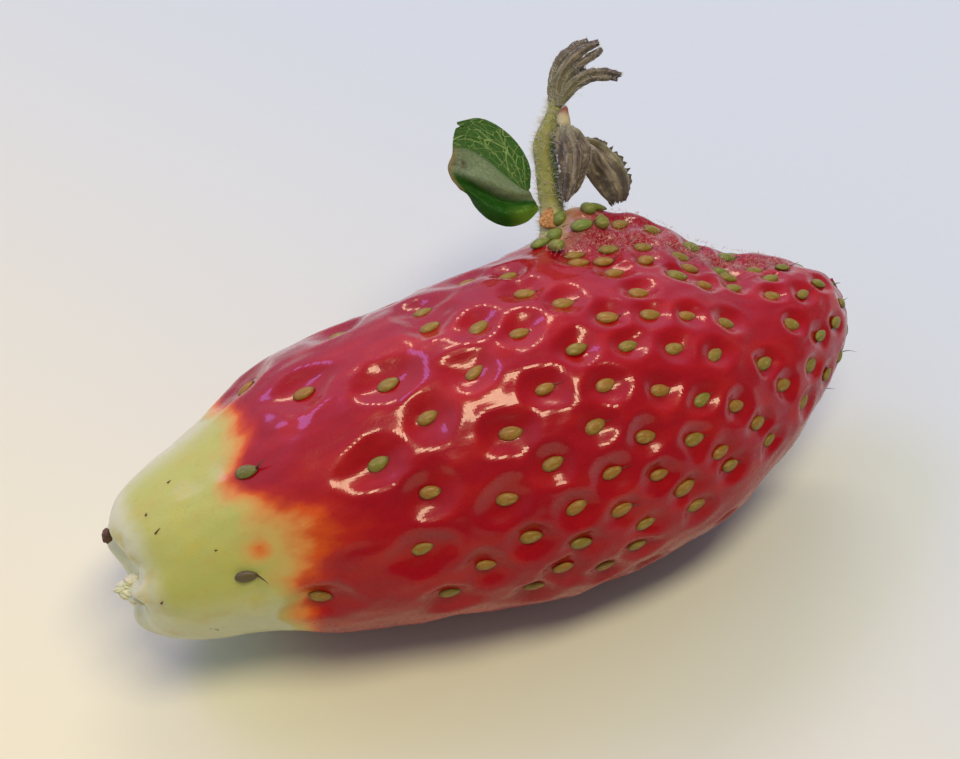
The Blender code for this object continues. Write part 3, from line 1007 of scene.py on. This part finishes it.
def vein_strength(reach, span, veins, width):
    """1 on a vein and 0 away from it, for points given by reach and span."""
    strength = np.zeros(len(reach))
    here = np.stack([reach, span * 1.6], axis=1)
    for vein in veins:
        route = curve_through([(r, s * 1.6) for r, s in vein], np.linspace(0.0, 1.0, 40))
        gap = np.sqrt(((here[:, None, :] - route[None, :, :]) ** 2).sum(axis=2)).min(axis=1)
        strength = np.maximum(strength, 1.0 - smoothstep(width * 0.4, width, gap))
    return strength


def green_leaf_material():
    """Fresh leaf: bright, netted upper half, and a grey, felted fold below."""
    c = colours()
    paint = Paint(
        "fresh_leaf", Specular_IOR_Level=0.12, Subsurface_Weight=0.15, Subsurface_Scale=0.4 * MM
    )
    reach = paint.attribute("reach")
    span = paint.attribute("span")
    vein = paint.attribute("vein")
    place = paint.node("ShaderNodeCombineXYZ", {}, {0: reach * 9.0, 1: span * 22.0, 2: 0.0})
    cells = paint.node(
        "ShaderNodeTexVoronoi", {"feature": "DISTANCE_TO_EDGE"}, {"Vector": place, "Scale": 0.9}
    )
    fine = paint.node(
        "ShaderNodeTexVoronoi", {"feature": "DISTANCE_TO_EDGE"}, {"Vector": place, "Scale": 2.6}
    )
    net = (1.0 - cells.rise(0.01, 0.045)) * 0.75 + (1.0 - fine.rise(0.01, 0.06)) * 0.3
    mottle = paint.noise(0.5 * MM, detail=4.0)
    blade = paint.mix(mottle, tuple(c.leaf), (0.020, 0.115, 0.006))
    upper = 1.0 - span.rise(0.30, 0.35)
    veined = paint.mix(((net + vein * 0.75) * upper).clamp() * 0.75, blade, tuple(c.vein))
    felt = paint.noise(0.10 * MM, detail=3.0, stretch=(1.0, 1.0, 0.4))
    grey = paint.mix(felt, (0.10, 0.17, 0.075), (0.27, 0.34, 0.20))
    flap = span.rise(0.32, 0.36) * (1.0 - span.rise(0.58, 0.70))
    folded = paint.mix(flap * 0.85, veined, grey)
    bright = span.rise(0.7, 0.9) * (1.0 - reach.rise(0.15, 0.42))
    fresh = paint.mix(bright * 0.8, folded, (0.16, 0.33, 0.03))
    old = reach.rise(0.90, 0.985) * span.rise(0.25, 0.45)
    olive = paint.mix(old * 0.9, fresh, (0.22, 0.20, 0.08))
    torn = paint.mix(paint.attribute("torn") * mottle.rise(0.3, 0.6), olive, (0.07, 0.04, 0.025))
    return paint.finish(
        Base_Color=torn, Roughness=0.34 + 0.4 * flap,
        height=net * 0.7 + vein + 0.5 * felt, depth=0.07 * MM,
    )


class STRAWBERRY_OT_green_leaflet(bpy.types.Operator):
    """Builds the fresh, folded leaflet with its veins"""

    bl_idname = "strawberry.green_leaflet"
    bl_label = "Green leaflet"

    def execute(self, context):
        rows, columns = 110, 150
        points, reach, span = sheet(GREEN_LEAFLET, rows, columns, 0.035, 0.9, 5.0)
        notch = bell(reach - 0.985, 0.03) * bell(span - 0.05, 0.02)
        points[:, 0] += 0.3 * notch
        mesh = mesh_from("green_leaflet_blade", to_world(points), grid_faces(rows, columns))
        add_numbers(
            mesh, reach=reach, span=span, vein=vein_strength(reach, span, GREEN_VEINS, 0.016),
            torn=bell(reach - 0.86, 0.09) * bell(span - 0.52, 0.06),
        )
        piece = add_piece(
            "green_leaflet_blade", mesh, green_leaf_material(), ["green_leaflet"]
        )
        thicken(piece, sizes().leaf_thickness)
        return {"FINISHED"}


@lru_cache(maxsize=1)
def dry_leaf_material():
    """Withered leaf: grey-brown, streaked lengthwise, darker at its torn margins."""
    c = colours()
    paint = Paint("withered_leaf", Sheen_Weight=0.35, Sheen_Roughness=0.5)
    reach = paint.attribute("reach")
    span = paint.attribute("span")
    place = paint.node("ShaderNodeCombineXYZ", {}, {0: reach * 3.4, 1: span * 11.0, 2: 0.0})
    streak = paint.noise(1.0, detail=4.0, vector=place)
    fibre = paint.noise(0.08 * MM, detail=3.0)
    base = paint.mix(streak.rise(0.32, 0.55), (0.045, 0.032, 0.022), tuple(c.dry))
    pale = paint.mix(streak.rise(0.52, 0.70) * 0.85, base, (0.42, 0.40, 0.29))
    blotch = paint.noise(0.75 * MM, detail=4.0)
    patched = paint.mix(0.8 * (blotch + 0.25 * reach).rise(0.52, 0.72), pale, (0.048, 0.036, 0.026))
    olive = paint.mix(paint.attribute("olive"), patched, (0.15, 0.17, 0.05))
    margin = (span - 0.5) * (span - 0.5) * 4.0
    wear = margin.rise(0.72, 1.0) * 0.75 + 0.4 * reach.rise(0.85, 1.0)
    worn = paint.mix(wear, olive, (0.05, 0.025, 0.03))
    rib = 1.0 - ((span - 0.5) * (span - 0.5)).rise(0.0004, 0.004)
    ribbed = paint.mix(rib * 0.25, worn, (0.42, 0.38, 0.22))
    fibred = paint.mix(0.3 * fibre, ribbed, (0.5, 0.48, 0.4), "SOFT_LIGHT")
    return paint.finish(
        Base_Color=fibred, Roughness=0.62 + 0.2 * fibre, height=streak + 0.4 * fibre, depth=0.12 * MM
    )


def leaf_piece(name, nets, node, olive, wrinkle, fray, seed, pleats=0.0):
    """One withered leaf from one or more nets joined as one piece."""
    rows, columns = 60, 44
    points = []
    faces = []
    reach = []
    span = []
    for step, net in enumerate(nets):
        start = rows * columns * step
        surface, along, across = sheet(net, rows, columns, wrinkle, 0.55, seed + step, fray, pleats)
        points.append(surface)
        faces += grid_faces(rows, columns, start=start)
        reach.append(along)
        span.append(across)
    reach = np.concatenate(reach)
    span = np.concatenate(span)
    mesh = mesh_from(name, to_world(np.concatenate(points)), faces)
    add_numbers(mesh, reach=reach, span=span, olive=olive(reach, span))
    thicken(add_piece(name, mesh, dry_leaf_material(), [node]), sizes().leaf_thickness)


class STRAWBERRY_OT_dry_leaves(bpy.types.Operator):
    """Builds the three withered leaves"""

    bl_idname = "strawberry.dry_leaves"
    bl_label = "Dry leaves"

    def execute(self, context):
        folds = [
            folded_strip(route, width, -0.12 * (n % 2) - 0.1)
            for n, (route, width) in enumerate(UPPER_FOLDS)
        ]
        leaf_piece(
            "upper_leaf_blade", (UPPER_PALM, *folds), "upper_leaf",
            lambda reach, span: 0.5 * (1.0 - smoothstep(0.2, 0.7, reach)), 0.09, 0.6, 11.0,
        )
        leaf_piece(
            "front_leaflet_blade", (FRONT_LEAFLET,), "front_leaflet",
            lambda reach, span: 0.5 * (1.0 - smoothstep(0.0, 0.3, reach)), 0.11, 0.9, 21.0, 3.5,
        )
        leaf_piece(
            "side_leaflet_blade", (SIDE_LEAFLET,), "side_leaflet",
            lambda reach, span: (
                0.9 * (1.0 - smoothstep(0.12, 0.36, span)) * (1.0 - smoothstep(0.5, 0.9, reach))
            ),
            0.10, 0.85, 31.0, 2.5,
        )
        return {"FINISHED"}


def stem_material():
    """Hairy stem: light olive on its round side; the darker green on its other side, past the groove,
    is painted shade under the withered leaf.
    """
    paint = Paint(
        "stem_skin", Specular_IOR_Level=0.25, Subsurface_Weight=0.2, Subsurface_Scale=0.5 * MM
    )
    fold = paint.attribute("fold")
    foot = paint.attribute("foot")
    streak = paint.noise(0.22 * MM, detail=4.0, stretch=(1.0, 0.5, 0.5))
    light = paint.mix(streak, (0.17, 0.20, 0.035), (0.33, 0.34, 0.10))
    # Painted shade: the darker green is where the withered leaf shades the stem, masked by the "fold"
    # mask.
    dark = paint.mix(streak, (0.055, 0.10, 0.012), (0.12, 0.17, 0.03))
    sides = paint.mix(fold, light, dark)
    pale = paint.mix(foot * 0.8, sides, (0.48, 0.48, 0.24))
    return paint.finish(Base_Color=pale, Roughness=0.5 + 0.2 * streak, height=streak, depth=0.06 * MM)


class STRAWBERRY_OT_stem(bpy.types.Operator):
    """Builds the swaying stem with its lengthwise fold"""

    bl_idname = "strawberry.stem"
    bl_label = "Stem"

    def execute(self, context):
        rows, sides = 90, 48
        route = curve_through(STEM, np.linspace(0.0, 1.0, rows))
        turns = np.linspace(0.0, 2.0 * pi, sides, endpoint=False)
        points = []
        fold = []
        foot = []
        for across, depth, height, radius in route:
            for turn in turns:
                bearing = turn_between(degrees(turn), 0.0)
                groove = bell(turn_between(bearing, -62.0), 20.0)
                reach = radius * (1.0 - 0.14 * groove * smoothstep(1.0, 2.4, height))
                points.append((across + reach * cos(turn), depth + 0.85 * reach * sin(turn), height))
                # The "fold" mask marks the painted shade on the side past the groove, under the
                # withered leaf, between heights 1.2 and 6.6.
                right = smoothstep(-75.0, -50.0, bearing) * (1.0 - smoothstep(100.0, 140.0, bearing))
                tall = smoothstep(1.2, 2.6, height) * (1.0 - smoothstep(5.6, 6.6, height))
                fold.append(float(right * tall))
                foot.append(float(1.0 - smoothstep(0.6, 2.2, height)))
        points = np.array(points)
        points += (cloud(points, 0.6, 8.0) * 0.05)[:, None] * (1.0, 1.0, 0.0)
        mesh = mesh_from("stem_skin", to_world(points), tube_faces(rows, sides))
        add_numbers(mesh, fold=fold, foot=foot)
        add_piece("stem_skin", mesh, stem_material(), ["shoot_stem"])
        return {"FINISHED"}


def lump(name, centre, half, rows, sides, shape):
    """A rounded body in the shoot's frame; shape gives its width at a height from -1 to 1."""
    points = []
    along = []
    for t in np.linspace(-0.999, 0.999, rows):
        width = shape(t)
        for turn in np.linspace(0.0, 2.0 * pi, sides, endpoint=False):
            points.append((
                centre[0] + half[0] * width * cos(turn) + half[0] * 0.35 * t * t,
                centre[1] + half[1] * width * sin(turn),
                centre[2] + half[2] * t,
            ))
            along.append(t)
    points = np.array(points)
    points += (cloud(points, 0.3, 3.0) * 0.04)[:, None]
    mesh = mesh_from(name, to_world(points), tube_faces(rows, sides))
    add_numbers(mesh, along=along)
    return mesh


def bud_material():
    """Bud: cream, browning towards its tip."""
    paint = Paint("bud_skin", Subsurface_Weight=0.25, Subsurface_Scale=0.4 * MM)
    streak = paint.noise(0.12 * MM, detail=3.0)
    cream = paint.mix(streak, (0.36, 0.33, 0.15), (0.54, 0.50, 0.32))
    ageing = (paint.attribute("along") + 0.5 * (streak - 0.5)).rise(0.0, 0.7)
    brown = paint.mix(ageing, cream, (0.22, 0.06, 0.03))
    return paint.finish(Base_Color=brown, Roughness=0.55, height=streak, depth=0.05 * MM)


def bract_material():
    """Bract: dry orange, dark at both ends."""
    paint = Paint("bract_skin")
    along = paint.attribute("along")
    streak = paint.noise(0.16 * MM, detail=4.0)
    orange = paint.mix(streak.rise(0.3, 0.7), (0.34, 0.13, 0.03), (0.52, 0.30, 0.10))
    dark = paint.mix((along * along).rise(0.45, 0.95) * 0.8, orange, (0.10, 0.035, 0.015))
    return paint.finish(Base_Color=dark, Roughness=0.5, height=streak, depth=0.10 * MM)


class STRAWBERRY_OT_bud_and_bract(bpy.types.Operator):
    """Builds the unopened flower bud and the dry bract at the foot"""

    bl_idname = "strawberry.bud_and_bract"
    bl_label = "Bud and bract"

    def execute(self, context):
        bud = lump(
            "bud_skin", (0.42, -0.32, 6.8), (0.42, 0.34, 0.72), 40, 28,
            lambda t: (1 - t * t) ** 0.5 * (1 - 0.35 * t),
        )
        add_piece("bud_skin", bud, bud_material(), ["flower_bud"])
        bract = lump(
            "bract_skin", (-0.55, -0.8, 0.7), (0.46, 0.15, 0.66), 36, 30,
            lambda t: (1 - t * t) ** 0.4 * (1 - 0.45 * t),
        )
        add_piece("bract_skin", bract, bract_material(), ["bract"])
        return {"FINISHED"}


# ---------------------------------------------------------------- fuzz and neck details


def hair_material(name, colour, tip_colour):
    """Fine pale hairs that catch the light."""
    paint = Paint(
        name, Roughness=0.4, Sheen_Weight=0.4, Subsurface_Weight=0.3, Subsurface_Scale=0.2 * MM
    )
    tone = paint.noise(0.5 * MM)
    return paint.finish(Base_Color=paint.mix(tone, colour, tip_colour))


class STRAWBERRY_OT_hairs(bpy.types.Operator):
    """Builds the fine hairs of the shoot, its foot and the groove of the crest"""

    bl_idname = "strawberry.hairs"
    bl_label = "Hairs"

    def execute(self, context):
        random = np.random.default_rng(SEED + 2)
        width = sizes().hair_width
        threads = []
        for _ in range(CREST_HAIRS):
            distance = random.uniform(29.5, 44.5)
            on_groove = random.random() < 0.7
            angle = random.normal(-43.0, 3.5) if on_groove else random.uniform(-75.0, -40.0)
            seat = seat_at(distance, angle)
            way = unit(seat.normal + random.normal(0.0, 0.5, 3))
            threads.append((seat.place, way, random.uniform(0.1, 0.3) * MM, width * 0.8))
        bend = random.normal(0.0, 0.5, len(threads))
        surface = hair_material("skin_hair", (0.50, 0.16, 0.14), (0.72, 0.50, 0.44))
        add_strands("crest_hairs", threads, bend, surface)

        threads = []
        route = curve_through(STEM, np.linspace(0.0, 1.0, 300))
        for _ in range(STEM_HAIRS):
            *middle, radius = route[int(len(route) * random.random() ** 0.8)]
            turn = random.uniform(0.0, 2.0 * pi)
            out = np.array((cos(turn), sin(turn), 0.0))
            root = to_world(np.array(middle) + out * radius * (1.0, 0.85, 1.0) * 0.95)
            way = out + np.array((0.0, 0.0, random.uniform(0.0, 0.9))) + random.normal(0.0, 0.25, 3)
            length = random.uniform(0.25, 0.6) * MM
            threads.append((root, shoot_way(way), length, width * 0.7))
        nets = [(UPPER_PALM, 420), (FRONT_LEAFLET, 260)]
        nets += [(folded_strip(line, half_width, -0.15), 130) for line, half_width in UPPER_FOLDS]
        for net, count in nets:
            surface, _, span = sheet(net, 30, 16, 0.0, 1.0, 1.0)
            for pick in random.integers(0, len(surface), count):
                way = np.array((span[pick] - 0.5, -0.5, 0.35)) + random.normal(0.0, 0.35, 3)
                length = random.uniform(0.2, 0.5) * MM
                threads.append((to_world(surface[pick]), shoot_way(way), length, width * 0.7))
        bend = random.normal(0.0, 0.4, len(threads))
        surface = hair_material("shoot_hair", (0.52, 0.52, 0.36), (0.85, 0.80, 0.70))
        add_strands("shoot_hairs", threads, bend, surface)
        return {"FINISHED"}


# Dry specks on the neck: distance from the neck end, angle, length and turn.
NECK_SPECKS = (
    (3.6, -11.0, 0.28, 20.0), (1.9, 16.0, 0.5, 30.0), (1.8, 1.0, 0.2, 60.0), (1.0, 64.0, 0.3, 50.0),
    (3.3, 93.0, 0.55, -35.0), (4.6, 40.0, 0.18, 0.0),
)
# The dry peg: its place on the neck, and its shift to the left and up.
PEG = (0.3, -42.0)
PEG_SHIFT = (0.6, 0.0)

# Torn crumbs at the neck's end: angle, shift to the left and up, half width and half height.
TORN_CRUMBS = (
    (50.0, 0.10, -0.15, 0.70, 0.42), (57.0, 0.50, -0.30, 0.70, 0.36), (62.0, 0.95, -0.45, 0.50, 0.28),
    (66.0, 0.45, -0.50, 0.80, 0.36), (74.0, 0.20, -0.40, 0.62, 0.36),
)


def ragged_lumps(lumps, left, up, roughness):
    """Points and faces of rough bodies, each a place, a half width and a half height in millimetres."""
    form = bmesh.new()
    bmesh.ops.create_icosphere(form, subdivisions=4, radius=1.0)
    ball, ball_faces = take_form(form)
    front = np.cross(left, up)
    points = []
    faces = []
    for n, (place, wide, tall) in enumerate(lumps):
        size = 1.0 + (cloud(ball, 0.45, 20.0 + n) * 1.6 + cloud(ball, 0.2, 40.0 + n)) * roughness
        local = ball * size[:, None] * (wide, min(wide, tall), tall) * MM
        faces += [tuple(i + n * len(ball) for i in f) for f in ball_faces]
        points.append(place + local[:, :1] * left + local[:, 1:2] * front + local[:, 2:] * up)
    return np.concatenate(points), faces


def torn_flesh_material():
    """Pale, wet flesh where the neck was torn."""
    paint = Paint("torn_flesh", Subsurface_Weight=0.3, Subsurface_Scale=0.4 * MM, Roughness=0.45)
    tone = paint.noise(0.5 * MM)
    pale = paint.mix(tone, (0.58, 0.58, 0.32), (0.74, 0.74, 0.52))
    return paint.finish(Base_Color=pale, height=tone, depth=0.06 * MM)


class STRAWBERRY_OT_neck(bpy.types.Operator):
    """Builds the dark specks, the dry peg and the torn flap at the end of the neck"""

    bl_idname = "strawberry.neck"
    bl_label = "Neck details"

    def execute(self, context):
        threads = []
        for distance, angle, length, turn in NECK_SPECKS:
            seat = seat_at(distance, angle)
            way = seat.lengthwise * cos(radians(turn)) + seat.crosswise * sin(radians(turn))
            threads.append((seat.place + seat.normal * 0.03 * MM, way, length * MM, 0.07 * MM))
        bend = [0.2] * len(threads)
        add_strands("neck_specks", threads, bend, style_material(), sides=6, rings=6)

        up = shoot_way((0.0, 0.0, 1.0))
        left = shoot_way((-1.0, 0.0, 0.0))
        root = seat_at(*PEG).place + (left * PEG_SHIFT[0] + up * PEG_SHIFT[1]) * MM
        points, faces = ragged_lumps([(root, 0.3, 0.44)], left, up, 0.13)
        add_piece("neck_peg", mesh_from("neck_peg", points, faces), style_material())

        crumbs = []
        for angle, shift, rise, wide, tall in TORN_CRUMBS:
            place = seat_at(0.5, angle).place + (left * shift + up * rise) * MM
            crumbs.append((place, wide, tall))
        points, faces = ragged_lumps(crumbs, left, up, 0.2)
        add_piece("neck_flap", mesh_from("neck_flap", points, faces), torn_flesh_material())
        return {"FINISHED"}


# ---------------------------------------------------------------- stage


# The way towards the floor's painted pool of warm light, as one over its distance in metres.
PAINTED_GLOW_SIDE = (-20.0, -12.0, 0.0)

CAMERA_TURN = -24.0
CAMERA_RISE = 52.0
CAMERA_DISTANCE = 160.6 * MM
CAMERA_LENS = 100.0
CAMERA_AIM = (0.27, 0.6, -0.35)

# Lamps: name, turn around the fruit, rise, distance, width, length, power in watts and colour.
LIGHTS = (
    ("warm_key", 12.0, 76.0, 0.55, 0.38, 0.13, 2.15, (1.0, 0.80, 0.52)),
    ("warm_back", 160.0, 42.0, 0.55, 0.30, 0.06, 0.70, (1.0, 0.78, 0.52)),
    ("violet_window", -148.0, 50.0, 0.8, 0.36, 0.22, 1.25, (0.46, 0.30, 1.0)),
)

# Broad, soft patches of light in the room: direction, sharpness and brightness of each colour.
SKY_PATCHES = (
    ((-0.62, 0.48, 0.62), 2.4, (0.46, 0.57, 0.86)),
    ((0.35, 0.80, 0.48), 4.0, (0.44, 0.38, 0.72)),
)
SKY_BASE = (0.18, 0.18, 0.18)


def look_from(turn, rise, distance, aim):
    """A place seen from the aim at a turn and rise, and the rotation that looks back at it."""
    turn, rise = radians(turn), radians(rise)
    back = Vector((sin(turn) * cos(rise), -cos(turn) * cos(rise), sin(rise)))
    return aim + back * distance, back.to_track_quat("Z", "Y").to_euler()


def soft_room():
    """The room's light: dim all round, with broad soft patches and no hard edges."""
    world = bpy.data.worlds.new("soft_room")
    world.use_nodes = True
    paint = Paint.of_tree(world.node_tree)
    way = paint.node("ShaderNodeTexCoord", output="Generated")
    total = paint.node("ShaderNodeVectorMath", {"operation": "ADD"}, {0: SKY_BASE, 1: (0.0, 0.0, 0.0)})
    for direction, sharpness, colour in SKY_PATCHES:
        facing = paint.node(
            "ShaderNodeVectorMath", {"operation": "DOT_PRODUCT"},
            {0: way, 1: tuple(Vector(direction).normalized())}, output="Value",
        )
        glow = paint.math("MAXIMUM", facing, 0.0) ** sharpness
        patch = paint.node("ShaderNodeVectorMath", {"operation": "SCALE"}, {0: colour, "Scale": glow})
        total = paint.node("ShaderNodeVectorMath", {"operation": "ADD"}, {0: total, 1: patch})
    paint.feed(world.node_tree.nodes["Background"].inputs["Color"], total)
    return world


def floor_material():
    """Plain paper, with a painted pool of warm light towards one side."""
    paint = Paint("floor_paper", Roughness=0.75)
    grain = paint.noise(0.7 * MM, detail=4.0)
    cool = tuple(colours().floor)
    tone = paint.mix(grain, cool, tuple(0.98 * n for n in cool))
    side = paint.node(
        "ShaderNodeVectorMath", {"operation": "DOT_PRODUCT"},
        {0: paint.place(), 1: PAINTED_GLOW_SIDE}, output="Value",
    )
    # Painted warm light: the floor turns towards this colour on one side.
    tone = paint.mix(side.rise(-0.9, 1.1), tone, tuple(colours().painted_floor_glow))
    return paint.finish(Base_Color=tone, height=grain, depth=0.01 * MM)


class STRAWBERRY_OT_stage(bpy.types.Operator):
    """Builds the plain floor, the soft lights and the camera"""

    bl_idname = "strawberry.stage"
    bl_label = "Stage"

    def execute(self, context):
        scene = context.scene
        middle = Vector((sum(pair) / 2 for pair in zip(*CAD_BOX)))
        aim = middle + Vector(CAMERA_AIM) * MM

        form = bmesh.new()
        bmesh.ops.create_grid(form, x_segments=40, y_segments=40, size=1.5)
        mesh = bpy.data.meshes.new("floor")
        form.to_mesh(mesh)
        form.free()
        mesh.materials.append(floor_material())
        floor = bpy.data.objects.new("floor", mesh)
        scene.collection.objects.link(floor)
        floor.location.z = CAD_BOX[0][2] - 0.02 * MM

        for name, turn, rise, distance, width, length, power, colour in LIGHTS:
            lamp = bpy.data.lights.new(name, "AREA")
            lamp.shape = "ELLIPSE"
            lamp.size = width
            lamp.size_y = length
            lamp.energy = power
            lamp.color = colour
            holder = bpy.data.objects.new(name, lamp)
            holder.location, holder.rotation_euler = look_from(turn, rise, distance, middle)
            scene.collection.objects.link(holder)

        scene.world = soft_room()
        scene.view_settings.view_transform = "Standard"

        camera = bpy.data.cameras.new("camera")
        camera.lens = CAMERA_LENS
        camera.clip_start = 0.01
        eye = bpy.data.objects.new("camera", camera)
        eye.location, eye.rotation_euler = look_from(CAMERA_TURN, CAMERA_RISE, CAMERA_DISTANCE, aim)
        scene.collection.objects.link(eye)
        scene.camera = eye
        return {"FINISHED"}


# ---------------------------------------------------------------- add-on


OPERATORS = (
    STRAWBERRY_OT_stage, STRAWBERRY_OT_flesh, STRAWBERRY_OT_achenes, STRAWBERRY_OT_neck,
    STRAWBERRY_OT_stem, STRAWBERRY_OT_green_leaflet, STRAWBERRY_OT_dry_leaves,
    STRAWBERRY_OT_bud_and_bract, STRAWBERRY_OT_hairs,
)


class STRAWBERRY_PT_panel(bpy.types.Panel):
    """Lists the strawberry's pieces and settings"""

    bl_idname = "STRAWBERRY_PT_panel"
    bl_label = "Strawberry"
    bl_space_type = "VIEW_3D"
    bl_region_type = "UI"
    bl_category = "Strawberry"

    def draw(self, context):
        for operator in OPERATORS:
            self.layout.operator(operator.bl_idname)
        for settings in (context.scene.strawberry_sizes, context.scene.strawberry_colours):
            for name in settings.bl_rna.properties.keys():
                if name not in ("rna_type", "name"):
                    self.layout.prop(settings, name)


CLASSES = (StrawberrySizes, StrawberryColours, *OPERATORS, STRAWBERRY_PT_panel)


def register():
    for cls in CLASSES:
        bpy.utils.register_class(cls)
    bpy.types.Scene.strawberry_sizes = bpy.props.PointerProperty(type=StrawberrySizes)
    bpy.types.Scene.strawberry_colours = bpy.props.PointerProperty(type=StrawberryColours)


def unregister():
    del bpy.types.Scene.strawberry_colours
    del bpy.types.Scene.strawberry_sizes
    for cls in reversed(CLASSES):
        bpy.utils.unregister_class(cls)


def main():
    register()
    for operator in OPERATORS:
        group, name = operator.bl_idname.split(".")
        getattr(getattr(bpy.ops, group), name)()


if __name__ == "__main__":
    main()
